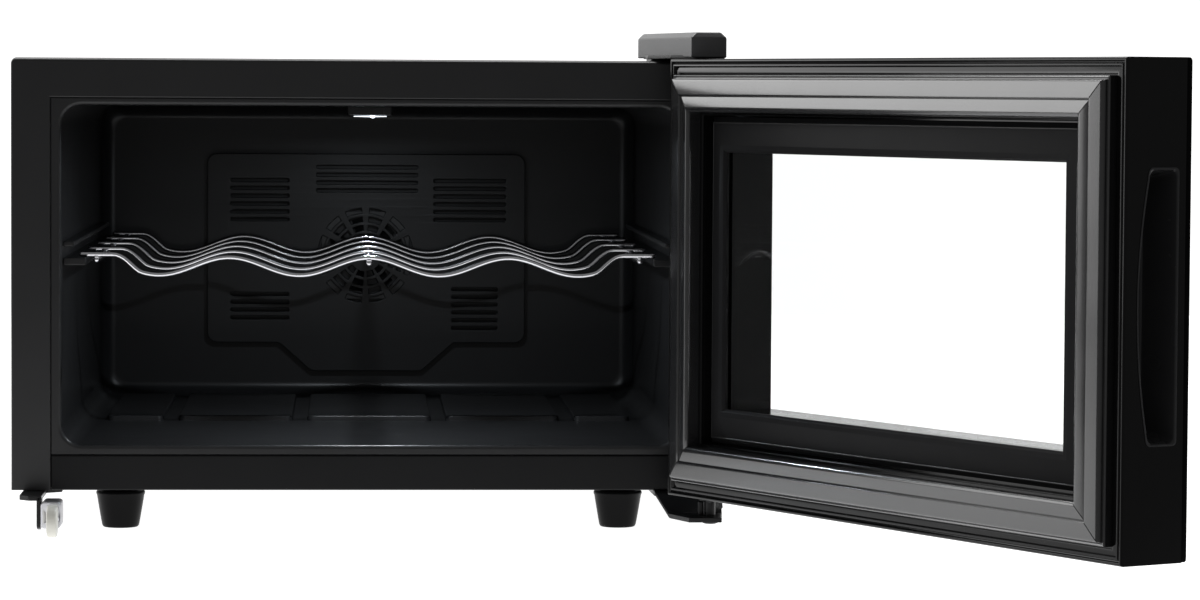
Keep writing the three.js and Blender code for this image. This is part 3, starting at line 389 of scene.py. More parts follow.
def tube_rings(points, radius):
    """Rings of a round wire along a path, with rounded ends."""
    steps, cap = 16, 4
    path = [Vector(p) for p in points]
    count = len(path)
    tangents = [(path[min(k + 1, count - 1)] - path[max(k - 1, 0)]).normalized() for k in range(count)]
    normal = tangents[0].orthogonal().normalized()
    sides = []
    for tangent in tangents:
        normal = (normal - tangent * normal.dot(tangent)).normalized()
        sides.append(normal.copy())

    def ring(at, along, r):
        side, tangent = sides[at], tangents[at]
        centre, other = path[at] + tangent * along, tangent.cross(side)
        return [tuple(centre + (side * math.cos(t) + other * math.sin(t)) * r) for t in turn_points(steps)]

    ends = [math.pi / 2 * (k + 0.15) / cap for k in range(cap)]
    rings = [ring(0, -radius * math.cos(a), radius * math.sin(a)) for a in ends]
    rings += [ring(k, 0, radius) for k in range(count)]
    rings += [ring(-1, radius * math.cos(a), radius * math.sin(a)) for a in reversed(ends)]
    return rings


def joined(name, parts, sharp=SHARP):
    """One piece from several (verts, faces) solids."""
    verts, faces = [], []
    for v, f in parts:
        start = len(verts)
        verts += v
        faces += [tuple(start + k for k in face) for face in f]
    return mesh_object(name, verts, faces, sharp=sharp)


def apply_modifiers(obj):
    graph = bpy.context.evaluated_depsgraph_get()
    mesh = bpy.data.meshes.new_from_object(obj.evaluated_get(graph))
    obj.modifiers.clear()
    obj.data = mesh


def carve(obj, *cutters, sharp=SHARP):
    """Cuts each cutter's shape out of obj, removes the cutter, and cleans up the slivers that are left."""
    for tool in cutters:
        modifier = obj.modifiers.new("cut", "BOOLEAN")
        modifier.solver = "EXACT"
        modifier.object = tool
        apply_modifiers(obj)
        bpy.data.objects.remove(tool)
    work = bmesh.new()
    work.from_mesh(obj.data)
    bmesh.ops.remove_doubles(work, verts=work.verts, dist=MERGE)
    bmesh.ops.dissolve_degenerate(work, edges=work.edges, dist=MERGE)
    bmesh.ops.connect_verts_concave(work, faces=work.faces)
    work.to_mesh(obj.data)
    work.free()
    smooth(obj, sharp)


def soften(obj, width_mm, segments):
    """Rounds the piece's sharp edges in its mesh."""
    modifier = obj.modifiers.new("edge", "BEVEL")
    modifier.width = width_mm * MM
    modifier.segments = segments
    modifier.limit_method = "ANGLE"
    modifier.angle_limit = math.radians(28)
    apply_modifiers(obj)
    smooth(obj)


def arc(cx, cy, r, start, end, steps=6):
    """Points on an arc, angles in degrees."""
    out = []
    for k in range(steps + 1):
        a = math.radians(start + (end - start) * k / steps)
        out.append((cx + r * math.cos(a), cy + r * math.sin(a)))
    return out


# ---------------------------------------------------------------- cabinet shell


def cabinet_wrap():
    """The folded sheet round the sides and top, with its front flange turned back at the inner edge."""
    fold, crown = 1.4, 9  # bend radius, and how far back the top edge falls to the front
    profile = [(1, D - 0.3), (0.7, D), (0.3, D), (0, D - 0.3)]
    profile += [(0, y) for y in (D / 2, crown, 6.5, 4.5, 2.8, fold)]
    profile += arc(fold, fold, fold, 180, 270, 5)[1:]
    profile += [(FLANGE_SIDE - 0.9, 0)] + arc(FLANGE_SIDE - 0.9, 0.9, 0.9, -90, 0, 4)[1:]
    profile += [(FLANGE_SIDE, 1.25), (FLANGE_SIDE - 0.9, 1.25), (FLANGE_SIDE - 1.2, 1), (1.2, 1)]
    rings = []
    for inset, y in profile:
        x, top = HALF - inset, H - inset
        if inset <= fold:
            top += 0.3 - max(0, 1 - y / crown) ** 2
        r = max(3 - inset, 0.3)
        ring = [(-x, y, 0)]
        ring += [(u, y, v) for u, v in arc(-x + r, top - r, r, 180, 90, 6)]
        ring += [(u, y, v) for u, v in arc(x - r, top - r, r, 90, 0, 6)]
        ring += [(x, y, 0)]
        rings.append(ring)
    verts, faces = loft(rings, closed=False, around=True)
    n, m = len(rings[0]), len(rings)
    faces += [tuple(k * n for k in range(m)), tuple(k * n + n - 1 for k in reversed(range(m)))]
    finish_piece(mesh_object("cabinet_wrap", verts, faces), "paint", "cabinet", "outer_shell")


def bottom_rail():
    """The rail between the side flanges, and a near-black sheet behind the seam at each end: painted shade in the
    gap.
    """
    x = HALF - FLANGE_SIDE - 0.8
    outline = [(14, 0), (14, 1), (1, 1), (1, RAIL_TOP - 1), (10, RAIL_TOP - 1), (10, RAIL_TOP), (0, RAIL_TOP), (0, 0)]
    section = fillet(outline, [0.3, 0.3, 0.2, 0.2, 0.3, 0.3, 1.1, 1.1], 4)
    rings = [[(px, y, z) for y, z in section] for px in (-x, x)]
    finish_piece(mesh_object("bottom_rail", *loft(rings)), "rail", "cabinet", "front_bottom_rail")
    for side, name in ((-1, "rail_seam_shade_left"), (1, "rail_seam_shade_right")):
        near, far = sorted((side * (x - 3), side * (x + 1.5)))
        tab = plate(name, rectangle(near, far, 1.6, RAIL_TOP - 1.6, 0.5, 3), [], 1.4, 1.9, edge=0.1)
        # The seam sheet takes the black enamel colour to paint the shade inside the gap between rail and flange.
        finish_piece(tab, "mask", "cabinet")


FAN_X, FAN_Z = -2.0, 126.4  # both fans turn about this axis


def slots(x0, x1, z0, z1, pitch, height, radius=1.0):
    """A stack of level slots."""
    out = []
    z = z0
    while z + height <= z1 + 1e-6:
        out.append(rectangle(x0, x1, z, z + height, min(radius, height / 2 - 0.05), 3))
        z += pitch
    return out


def back_panel():
    x = HALF - 1.3
    holes = [circle(FAN_X, FAN_Z, 37, 48), rectangle(138, 162, 31, 49, 1)]
    holes += slots(-135, -75, 84, 170, 9, 3.5) + slots(75, 135, 84, 170, 9, 3.5)
    holes += slots(FAN_X - 50, FAN_X + 50, 24, 60, 9, 3.5)
    panel = plate("back_panel", rectangle(-x, x, 1.3, H - 1.3, 3), holes, D - 1, D, edge=0.25)
    finish_piece(panel, "paint", "cabinet", "rear_panel")


def ring_slots(radii, width, count, gap, steps):
    """Curved slots round the fan's axis, with gap degrees between them."""
    out = []
    for radius in radii:
        for k in range(count):
            start = 360 * k / count + gap / 2
            end = 360 * (k + 1) / count - gap / 2
            outer = arc(FAN_X, FAN_Z, radius + width / 2, start, end, steps)
            inner = arc(FAN_X, FAN_Z, radius - width / 2, end, start, steps)
            out.append(outer + inner)
    return out


def fan_guard():
    outline = rectangle(FAN_X - 44, FAN_X + 44, FAN_Z - 44, FAN_Z + 44, 6, 6)
    holes = ring_slots([17, 25, 33], 5, 4, 9, 12)
    guard = plate("fan_guard", outline, holes, D + 0.3, D + 2.5, edge=0.5)
    finish_piece(guard, "trim", "cabinet", "rear_fan_guard")


# ---------------------------------------------------------------- liner
CAVITY = {"half": 185.0, "floor": 27.3, "ceiling": 231.0, "corner": 12.0, "back": 385.0, "draft": 1.5}
ARC_STEPS = 8


def rounded_ring(y, x, low, high, radius):
    """An upright ring at depth y, from -x to x and from low to high."""
    ring = []
    for cx, cz, start in ((x - radius, low + radius, -90), (x - radius, high - radius, 0),
                          (radius - x, high - radius, 90), (radius - x, low + radius, 180)):
        ring += [(u, y, v) for u, v in arc(cx, cz, radius, start, start + 90, ARC_STEPS)]
    return ring


def tub_ring(y, inset, radius):
    c = CAVITY
    return rounded_ring(y, c["half"] - inset, c["floor"] + inset, c["ceiling"] - inset, radius)


def liner_tub():
    """The moulded tub: a thin wall with a flat lip, a rolled edge, drafted sides and a filleted back."""
    c = CAVITY
    lip_x, lip_low, lip_high = 191.2, RAIL_TOP + 0.3, H - FLANGE_TOP - 0.3
    roll, back_fillet, wall = 2.6, 12.0, 1.1

    def lip(y, shrink):
        return rounded_ring(y, lip_x - shrink, lip_low + shrink, lip_high - shrink, 1)

    rings = [tub_ring(c["back"] + wall, c["draft"] - wall, c["corner"]), tub_ring(8, -wall, c["corner"]),
             tub_ring(4, -roll - wall, c["corner"] + roll), lip(2.5, 0), lip(0.8, 0), lip(0.4, 0.4)]
    for k in range(7):
        a = math.pi / 2 * k / 6
        rise = roll * (1 - math.sin(a))
        rings.append(tub_ring(0.4 + roll * (1 - math.cos(a)), -rise, c["corner"] + rise))
    for y in (20, 60, 120, 200, 280, 340, c["back"] - back_fillet):
        rings.append(tub_ring(y, c["draft"] * y / c["back"], c["corner"]))
    for k in range(1, 8):
        a = math.pi / 2 * k / 7
        inset = c["draft"] + back_fillet * (1 - math.cos(a)) * 0.8
        rings.append(tub_ring(c["back"] - back_fillet * (1 - math.sin(a)), inset, max(c["corner"] - k * 0.5, 6)))
    tub = mesh_object("liner_tub", *loft(rings), sharp=40)
    finish_piece(tub, "liner", "cabinet", "inner_liner")


def rounded_bar(x0, x1, y0, y1, z0, z1):
    """A long bar with rounded edges, as (verts, faces)."""
    r = 0.8
    rings = []
    for shrink, y in ((r, y0), (r * 0.3, y0 + r * 0.3), (0, y0 + r), (0, y1 - r), (r * 0.3, y1 - r * 0.3), (r, y1)):
        rings.append([(u, y, v) for u, v in rectangle(x0 + shrink, x1 - shrink, z0 + shrink, z1 - shrink, r, 3)])
    return loft(rings)


def shelf_guides():
    """At each side the ledge that carries the shelf, and a guard that keeps it from tipping."""
    ledge, guard = (171.0, 134.6, 139.1), (178.0, 146.0, 149.0)
    parts = []
    for side in (-1, 1):
        for inner, low, high in (ledge, guard):
            x0, x1 = sorted((side * inner, side * 184.6))
            parts.append(rounded_bar(x0, x1, 10.0, 372.0, low, high))
    finish_piece(joined("shelf_guides", parts), "liner", "cabinet")


def floor_platform():
    """Five low pads at the back of the floor, with grooves between them."""
    half, groove, top = 168.0, 9.0, CAVITY["floor"] + CAVITY["draft"] + 2.5
    centres = [-127, -44.5, 44.5, 127]
    edges = [-half] + [x + s * groove / 2 for x in centres for s in (-1, 1)] + [half]
    parts = []
    for k in range(0, len(edges), 2):
        x0, x1 = edges[k], edges[k + 1]
        rings = []
        for shrink, z in ((0, CAVITY["floor"] + 0.2), (0.4, top - 0.8), (0.75, top - 0.25), (1.3, top)):
            pad = rectangle(x0 + shrink, x1 - shrink, 173 + shrink, 366 - shrink, 4, 4)
            rings.append([(u, v, z) for u, v in pad])
        parts.append(loft(rings))
    finish_piece(joined("floor_platform", parts), "liner", "cabinet")


COVER = {"face": 376.5, "x": -1.3, "half": 109.5, "low": 66.0, "high": 196.5}


def cover_outline(g=0.0):
    """The cover's outline, grown by g: a wide box with a duct below its middle."""
    c = COVER
    x, h, low, high, duct = c["x"], c["half"] + g, c["low"] - g, c["high"] + g, 46.5 - g
    points = [(x - h, low), (x - 60 - g, low), (x - 38 - g, duct), (x + 38 + g, duct), (x + 60 + g, low),
              (x + h, low), (x + h, high), (x - h, high)]
    return fillet(points, [7, 4, 5, 5, 4, 7, 7, 7], 5)


LOUVRES = ((-95, -54.6, 150, 182), (-95, -54.6, 82, 105), (45, 95, 150, 182), (57.6, 89.5, 75, 105),
           (-36, 34, 170, 190))


def air_cover():
    """The cover on the back wall: louvres, a round fan grille and a rim that stands off the wall."""
    c = COVER
    holes = ring_slots([13, 19, 25, 31], 3.6, 12, 10, 6)
    for x0, x1, z0, z1 in LOUVRES:
        holes += slots(x0, x1, z0, z1, 5.4, 2.4, 1.1)
    face = plate("air_cover", cover_outline(), holes, c["face"], c["face"] + 2, edge=0.5, segments=3)
    finish_piece(face, "liner", "cabinet", "evaporator_cover")
    rim = plate("air_cover_rim", cover_outline(), [cover_outline(-1.8)], c["face"] + 1.2, 384.7, edge=0.3)
    finish_piece(rim, "liner", "cabinet")


# ---------------------------------------------------------------- shelf
SHELF = {"left": -175.8, "right": 173.2, "centre": -1.0, "pitch": 84.5, "plateau": 141.0, "crest": 139.4,
         "trough": 128.7, "wire": 1.6, "rod": 2.15, "front": 20.0, "back": 372.0, "rods": (-164.4, 0, 164.4)}
WIRE_YS = [SHELF["front"] + (SHELF["back"] - SHELF["front"]) * w / 4 for w in range(5)]


def wire_height(x):
    """The wave of a cross wire, which levels off at both ends."""
    s = SHELF
    middle, swing = (s["crest"] + s["trough"]) / 2, (s["crest"] - s["trough"]) / 2
    wave = middle + swing * math.cos((x - s["centre"]) / s["pitch"] * 2 * math.pi)
    blend = max(0.0, min(1.0, (abs(x - s["centre"]) - 1.62 * s["pitch"]) / (0.21 * s["pitch"])))
    ease = blend * blend * (3 - 2 * blend)
    return wave * (1 - ease) + s["plateau"] * ease


def weld(x, y, z):
    """The small bead where a wire is welded onto a rod."""
    rings = []
    for k in range(7):
        a = math.pi * (k + 0.3) / 6.6
        rings.append([(x + 2.3 * math.sin(a) * math.cos(t), y + 1.9 * math.sin(a) * math.sin(t),
                       z + 1.2 * math.cos(a)) for t in turn_points(12)])
    return loft(rings)


def shelf_wires():
    s = SHELF
    steps = 150
    x0, x1 = s["left"] + s["wire"], s["right"] - s["wire"]
    xs = [x0 + (x1 - x0) * k / steps for k in range(steps + 1)]
    parts = [loft(tube_rings([(x, y, wire_height(x)) for x in xs], s["wire"])) for y in WIRE_YS]
    finish_piece(joined("shelf_wires", parts, sharp=60), "chrome", "shelf", "wire_shelf")
    parts = []
    for place in s["rods"]:
        x = place + s["centre"]
        top = s["crest"] if place == 0 else s["plateau"]
        z = top - s["wire"] - s["rod"] + 0.5
        ends = (s["front"] - 2.2 + s["rod"], s["back"] + 2.2 - s["rod"])
        parts.append(loft(tube_rings([(x, y, z) for y in ends], s["rod"])))
        parts += [weld(x, y, z + s["rod"] - 0.4) for y in WIRE_YS]
    finish_piece(joined("shelf_rods", parts, sharp=60), "chrome", "shelf")


# ---------------------------------------------------------------- lamp
LAMP = {"x": -0.6, "half": 14.0, "front": 38.0, "back": 52.0}


def lamp():
    """A small housing under the ceiling with a thin lit strip let into its underside."""
    l = LAMP

    def block(name, steps):
        rings = []
        for shrink, z in steps:
            x, front, back = l["half"] - shrink, l["front"] + shrink, l["back"] - shrink
            rings.append([(u, v, z) for u, v in rectangle(l["x"] - x, l["x"] + x, front, back, 2.2, 5)])
        return mesh_object(name, *loft(rings))

    housing = block("lamp_housing", ((0, 230.4), (0, 226.0), (0.3, 225.5), (1.0, 225.3)))
    finish_piece(housing, "lamp_body", "cabinet", "lamp_lens")
    rings = []
    for k in range(25):
        share = k / 12 - 1
        x = l["x"] + 10 * share
        bead = max(0.0, 1 - ((x - l["x"] - 1.6) / 1.5) ** 2)
        half = 0.12 + 0.2 * (1 - abs(share)) + 0.8 * bead
        rings.append([(x, 42 + 3 * math.cos(t), 224.7 + half * math.sin(t)) for t in turn_points(16)])
    strip = mesh_object("lamp_strip", *loft(rings), sharp=60)
    finish_piece(strip, "lens", "cabinet")


# ---------------------------------------------------------------- feet
def feet():
    profile = [(0.1, -25), (9.6, -25), (10.2, -24.9), (10.7, -24.5), (11.2, -23.6), (11.9, -20), (13.9, -8.2),
               (14.3, -5.6), (14.75, -4.6), (14.8, -4.1), (14.6, -3.3), (14.0, -2.7), (12.6, -2.45), (11.4, -2.3),
               (11.1, -2.0), (11, -1.6), (11, -0.3), (0.1, -0.3)]
    for row, y in (("front", 30), ("rear", 425)):
        for side, x in (("left", -151.3), ("right", 151.3)):
            node = f"foot_{row}_{side}"
            foot = lathe(f"{node}_turned", profile, (x, y, 0), steps=72)
            finish_piece(foot, "foot", "cabinet", node)


# ---------------------------------------------------------------- hinges
def cap_plan(inset, front):
    """The cap's outline seen from above."""
    return [(188.4 + inset, front), (209.2 - inset, front), (211.6 - inset, front + 25), (212.4 - inset, 62 - inset),
            (164.2 + inset, 62 - inset), (164.2 + inset, 50)]


def hinge_parts():
    """The hollow cap with its straight chamfer, the plate under it, and both pins."""
    rings = [[(x, y, z) for x, y in outline] for outline, z in
             ((cap_plan(0, -47), 261.2), (cap_plan(0, -47), 273.0), (cap_plan(3.2, -44), 276.2))]
    cap = mesh_object("hinge_cap", *loft(rings))
    soften(cap, 0.7, 3)
    carve(cap, cutter("hollow", cap_plan(1.1, -45.8), 260, 266, "z"))
    finish_piece(cap, "cap", "cabinet", "top_hinge_cover")
    outline = fillet([(178, -22), (191, -42), (197, -44), (206, -44), (209, -40), (210.5, 58), (172, 58), (167, 52),
                      (167, 16)], [2, 4, 3, 3, 3, 2, 3, 3, 4])
    top = plate("hinge_plate", outline, [circle(PIN_X, PIN_Y, 3.1)], 260.6, 262.8, "z")
    finish_piece(top, "black_metal", "cabinet", "top_hinge_plate")
    foot = plate("hinge_plate_foot", rectangle(169, 210, 16, 56, 2), [], 259.3, 261.0, "z", 0.2)
    finish_piece(foot, "black_metal", "cabinet")
    profile = [(0.1, 247), (2.4, 247), (2.9, 247.6), (3, 248.2), (3, 262.9), (5, 263), (5, 264.7), (4.6, 265.4),
               (3.6, 265.8), (0.1, 265.8)]
    finish_piece(lathe("upper_pin", profile, PIN), "zinc", "cabinet", "top_hinge_pin")
    profile = [(0.1, -17), (3.2, -17), (4.4, -16.6), (5, -15.8), (5, -14.9), (3, -14.8), (3, 12.4), (2.6, 13.2),
               (0.1, 13.4)]
    finish_piece(lathe("lower_pin", profile, PIN), "black_metal", "cabinet", "bottom_hinge_pin")


ARM_LOW, ARM_HIGH = -14.8, -12.0


def hinge_bracket():
    """The bent arm under the cabinet that carries the door's lower pin."""
    upper = [(44, -0.3), (-3.4, -0.3), (-20.6, ARM_HIGH), (-47, ARM_HIGH)]
    lower = [(-47, ARM_LOW), (-21.6, ARM_LOW), (-4.4, -3.1), (44, -3.1)]
    section = fillet(upper + lower, [0.3, 3.0, 1.6, 0.3, 0.3, 3.4, 1.6, 0.3], 5)

    def left_edge(y):
        if y > 0:
            return 170.0
        if y > -14:
            return 170 - 6 * y / 14
        return 176 + 13 * (-14 - y) / 33

    def right_edge(y):
        return 211.5 + 3 * min(0, y + 14) / 33

    rings = []
    for k in range(13):
        share = k / 12
        rings.append([(left_edge(y) + (right_edge(y) - left_edge(y)) * share, y, z) for y, z in section])
    arm = mesh_object("hinge_arm", *loft(rings))
    soften(arm, 0.3, 2)
    carve(arm, lathe("hole", [(0.1, -20), (3.1, -20), (3.1, -8), (0.1, -8)], PIN))
    finish_piece(arm, "black_metal", "cabinet", "bottom_hinge_bracket")
    post = lathe("stop_post", [(0.1, -12.4), (1.9, -12.4), (1.9, -4.6), (1.7, -4.2), (1.2, -4), (0.1, -4)],
                 (PIN_X - 5.4, PIN_Y + 2.6, 0), steps=32)
    finish_piece(post, "black_metal", "cabinet")


def door_closer():
    """The collar and curved hook under the door's hinge corner, drawn where they are with the door open."""
    collar = lathe("closer_collar", [(3.3, -3.2), (6.6, -3.2), (7, -2.8), (7, -0.5), (6.6, -0.1), (3.3, -0.1)],
                   PIN, steps=48, bored=True)
    finish_piece(collar, "trim", "door", "door_closer")
    shape = [(-3.5, -0.3), (-3.2, -2.8), (-1.6, -3.7), (0.2, -3.0), (1.0, -1.9), (2.6, -2.3), (3.9, -3.8),
             (4.4, -6.2), (5.0, -7.2), (6.2, -7.1), (6.7, -6.2), (6.3, -3.4), (5.2, -1.2), (3.8, -0.3)]
    outline = fillet([(PIN_X + x, z) for x, z in shape], 0.9)
    hook = plate("closer_hook", outline, [], PIN_Y - 10.6, PIN_Y - 8.1, "y", 0.35)
    finish_piece(hook, "trim", "door")
    web = arc(PIN_X, PIN_Y, 10.4, -80, -50, 12) + arc(PIN_X, PIN_Y, 6.4, -50, -80, 12)
    finish_piece(plate("closer_web", web, [], -3.2, -0.2, "z"), "trim", "door")


# ---------------------------------------------------------------- lock
LOCK_X, LOCK_Z = -187.0, -13.5  # axis of the barrel
BARREL = (LOCK_X, 0, LOCK_Z)


def lock_parts():
    outline = fillet([(-208, -28), (-202, -34), (-194.6, -34), (-194.6, 14), (-186, 20), (-186, 40), (-208, 40)],
                     [3, 2, 0.5, 1, 2, 2, 2])
    bracket = plate("lock_plate", outline, [circle(-200, 30, 1.9, 24)], -3.1, -0.3, "z")
    finish_piece(bracket, "black_metal", "cabinet", "lock_bracket")
    tab = fillet([(-34, -1), (-34, -19), (-27, -21), (-20, -19), (-14, -8), (-14, -1)], [0.3, 3, 5, 3, 3, 0.3])
    finish_piece(plate("lock_tab", tab, [], -197.4, -195.2, "x"), "black_metal", "cabinet")
    case = prism("lock_case", rectangle(-194.8, -183, -19.5, -3.6, 2.4, 5), -36, -12, "y", 0.6)
    channel = cutter("channel", rectangle(LOCK_X - 3.3, LOCK_X + 3.3, -17.5, -13.7), -18.6, 0, "z")
    bore = lathe("bore", [(0.1, -40), (3.5, -40), (3.5, -17.2), (0.1, -17.2)], BARREL, "y")
    carve(case, channel, bore)
    finish_piece(case, "zinc", "cabinet", "lock_body")
    plug = lathe("lock_plug", [(0.1, -37), (2.7, -37), (3.2, -36.6), (3.2, -17.8), (0.1, -17.8)], BARREL, "y")
    carve(plug, cutter("keyway", rectangle(LOCK_X - 1, LOCK_X + 1, LOCK_Z - 2.5, LOCK_Z + 2.5), -40, -22.7, "y"))
    finish_piece(plug, "zinc", "lock_cylinder", "lock_barrel")
    bolt = prism("lock_bolt_bar", rectangle(LOCK_X - 3, LOCK_X + 3, -17.2, -14, 0.5, 3), -18, -4, "z", 0.5)
    finish_piece(bolt, "zinc", "lock_slider", "lock_bolt")


def key_parts():
    """The oval bow, its neck and the notched blade."""
    bow_y = -50
    hole = rectangle(bow_y - 6.5, bow_y - 3.5, LOCK_Z - 3, LOCK_Z + 3, 1.4, 5)
    bow = plate("key_bow", circle(bow_y, LOCK_Z, 9.5, 56), [hole], LOCK_X - 3, LOCK_X + 3, "x", 1.2, segments=4)
    finish_piece(bow, "ivory", "key", "lock_key")
    section = rectangle(LOCK_X - 1.6, LOCK_X + 1.6, LOCK_Z - 3.2, LOCK_Z + 3.2, 1)
    neck = prism("key_neck", section, -44, -38, "y", 0.4)
    finish_piece(neck, "ivory", "key")
    outline = [(-44, LOCK_Z - 2.2), (-24.5, LOCK_Z - 2.2), (-23, LOCK_Z - 1), (-23, LOCK_Z + 1.2)]
    for k in range(5):
        y = -24.6 - k * 3
        outline += [(y, LOCK_Z + 2.2), (y - 1.1, LOCK_Z + 1.2 + 0.2 * (k % 3)), (y - 2, LOCK_Z + 2.2)]
    outline += [(-44, LOCK_Z + 2.2)]
    blade = plate("key_blade", outline, [], LOCK_X - 0.7, LOCK_X + 0.7, "x", 0.15)
    finish_piece(blade, "zinc", "key")


# ---------------------------------------------------------------- screws, inlet, fans
def screw_head(name, x, y, z, axis, sign, radius, material, node):
    """A pan head with a cross recess."""
    h = radius * 0.62
    profile = [(0.1, 0), (radius, 0), (radius, h * 0.35), (radius * 0.9, h * 0.7), (radius * 0.6, h * 0.93), (0.1, h)]
    head = lathe(name, [(r, sign * w) for r, w in profile], (x, y, z), axis, 32)
    arm, width = radius * 0.55, radius * 0.16
    low, high = sorted((sign * h * 0.45, sign * h * 1.4))
    across, along = (z, y) if axis == "y" else (y, z)
    for a, b in ((arm, width), (width, arm)):
        slot = rectangle(x - a, x + a, across - b, across + b)
        carve(head, cutter("recess", slot, along + low, along + high, axis))
    finish_piece(head, material, "cabinet", node)


def screws():
    x = HALF - 10
    for k, (sx, z) in enumerate(((-x, 12), (x, 12), (-x, H - 12), (x, H - 12)), 1):
        screw_head(f"back_screw_{k}", sx, D + 0.3, z, "y", 1, 3.4, "black_metal", f"rear_screw_{k}")
    for k, (sx, sy) in enumerate(((176, 30), (204, 36)), 1):
        screw_head(f"arm_screw_{k}", sx, sy, -3.4, "z", -1, 3.8, "zinc", f"bracket_screw_{k}")


def inlet():
    x, z = 150, 40
    well = rectangle(x - 9.5, x + 9.5, z - 6.5, z + 6.5, 3, 5)
    outline = rectangle(x - 16, x + 16, z - 12, z + 12, 3, 5)
    flange = plate("inlet_flange", outline, [well], D + 0.3, D + 2.3, "y", 0.5)
    finish_piece(flange, "trim", "cabinet", "power_inlet")
    rings = [[(u, y, v) for u, v in rectangle(x - w, x + w, z - h, z + h, 2.5, 5)]
             for y, w, h in ((D - 20, 11.7, 8.7), (D + 0.6, 11.7, 8.7), (D + 0.6, 9.6, 6.6), (D - 16, 9.5, 6.5))]
    finish_piece(mesh_object("inlet_well", *loft(rings)), "trim", "cabinet")
    for k, dx in enumerate((-4, 4), 1):
        section = rectangle(x + dx - 1.1, x + dx + 1.1, z - 2, z + 2, 0.8, 3)
        pin = prism(f"inlet_pin_{k}", section, D - 17, D - 3, "y", 0.4)
        finish_piece(pin, "zinc", "cabinet")


BLADES = 7


def rotor(name, tip, hub, depth, y0, body, node):
    """A fan wheel with cambered blades."""
    rings = [[(FAN_X + r * math.cos(t), y0 + y, FAN_Z + r * math.sin(t)) for t in turn_points(40)]
             for r, y in ((0.1, 0), (hub - 0.8, 0), (hub, 0.8), (hub, depth), (0.1, depth))]
    parts = [loft(rings)]
    for base in turn_points(BLADES):
        rings = []
        for k in range(9):
            share = k / 8
            r = hub - 0.5 + (tip - hub + 0.5) * share
            chord = 0.62 - 0.18 * share
            ring = []
            for side in (1, -1):
                for q in range(7):
                    s = q / 6 if side > 0 else 1 - q / 6
                    angle = base + (s - 0.5) * chord
                    camber = math.sin(math.pi * s) * 0.9
                    thickness = 0.45 * math.sin(math.pi * min(max(s, 0.06), 0.94))
                    y = y0 + 0.9 + (depth - 1.8) * s + camber * 0.4 + side * thickness
                    y = min(max(y, y0 + 0.1), y0 + depth - 0.1)
                    ring.append((FAN_X + r * math.cos(angle), y, FAN_Z + r * math.sin(angle)))
            rings.append(ring)
        parts.append(loft(rings))
    finish_piece(joined(name, parts, sharp=40), "trim", body, node)


# ---------------------------------------------------------------- door
ROLLS_FROM = -4  # depth beyond which a soft moulding's rolls may vary


def mitred(name, profile, per_side=1, wobble=0.0, groove=0.0, sharp=SHARP):
    """A frame with mitred corners. profile is closed: [(inset from the door's edge, depth from its inner face)].

    wobble gives a soft moulding its slight waves, and groove cuts a fine weld line at each mitre.
    """
    corners = [(-1, 0), (1, 0), (1, 1), (-1, 1)]

    def at(corner, inset, t):
        sx, top = corner
        return Vector((sx * (HALF - inset), -(SEAL + t), DOOR_HIGH - inset if top else DOOR_LOW + inset))

    shares = [k / per_side for k in range(per_side)]
    if groove:
        shares = [0, 0.0015] + shares[1:] + [0.9985]
    rings = []
    for c in range(4):
        a, b = corners[c], corners[(c + 1) % 4]
        for share in shares:
            ring = []
            for inset, t in profile:
                if t < ROLLS_FROM:
                    t += wobble * math.sin(share * math.pi) * math.sin(share * 23 + c * 1.7) if share else groove
                ring.append(tuple(at(a, inset, t).lerp(at(b, inset, t), share)))
            rings.append(ring)
    return mesh_object(name, *loft(rings, around=True), DOOR, sharp)


def handle_outline(grow):
    """The pocket's D shape in y and z: straight towards the glass and bulging towards the seal."""
    near, far = -(SEAL + 15.5 - grow), -(SEAL + 34 + grow)
    bulge = -(SEAL + 2 * 9.2 - 15.5 - grow)
    low, high = 62 - grow, 203 + grow

    def quad(p0, p1, p2, n):
        return [tuple((1 - s) ** 2 * a + 2 * s * (1 - s) * b + s * s * c for a, b, c in zip(p0, p1, p2))
                for s in [k / n for k in range(1, n + 1)]]

    points = [(far, low + 3)]
    points += quad((far, low + 3), (far, low), (far + 3, low), 4)
    points += [(near - 3, low)]
    points += quad((near - 3, low), (near, low), (near + 0.3, low + 6), 5)
    points += quad((near + 0.3, low + 6), (bulge, (low + high) / 2), (near + 0.3, high - 6), 20)
    points += quad((near + 0.3, high - 6), (near, high), (near - 3, high), 5)
    points += [(far + 3, high)]
    points += quad((far + 3, high), (far, high), (far, high - 3), 4)
    return points


def handle_loft(name, sections):
    rings = [[(x, y, z) for y, z in handle_outline(grow)] for x, grow in sections]
    return mesh_object(name, *loft(rings), DOOR)


def door_frame():
    """The hollow frame: cut for the handle's pocket, the lock's bolt and both hinge bushes."""
    profile = [(0.45, 38.4), (0.45, 39.5), (0, 39.5), (0, 1.5)] + arc(1.5, 1.5, 1.5, 180, 270, 9)[1:]
    profile += [(1.8, 0.1), (2.0, 1.1), (2.7, 1.2)] + arc(4.2, 1.6, 1.5, 195, 280, 9)
    profile += [(4.9, 1.0), (5.2, 1.5), (6.4, 1.2), (7.4, 1.0), (8.2, 0.95), (8.6, 1.6), (31.6, 1.6)]
    profile += [(32.6, 1.8), (33.2, 2.6), (33.2, 10.5), (52.5, 10.5), (52.5, 38.4)]
    body = mitred("door_body", profile)
    cut = handle_loft("cut", [(-HALF - 2, 0.3), (-HALF + 25, 0.3)])
    slot = cutter("slot", rectangle(-192, -182, -20, -11, 1, 3), -1, 9.5, "z", DOOR)
    holes = [lathe("hole", [(0.1, a), (5.9, a), (5.9, b), (0.1, b)], PIN, place=DOOR)
             for a, b in ((-1, 14.6), (246, 262))]
    carve(body, cut, slot, *holes, sharp=14)
    finish_piece(body, "gloss", "door", "door_frame")


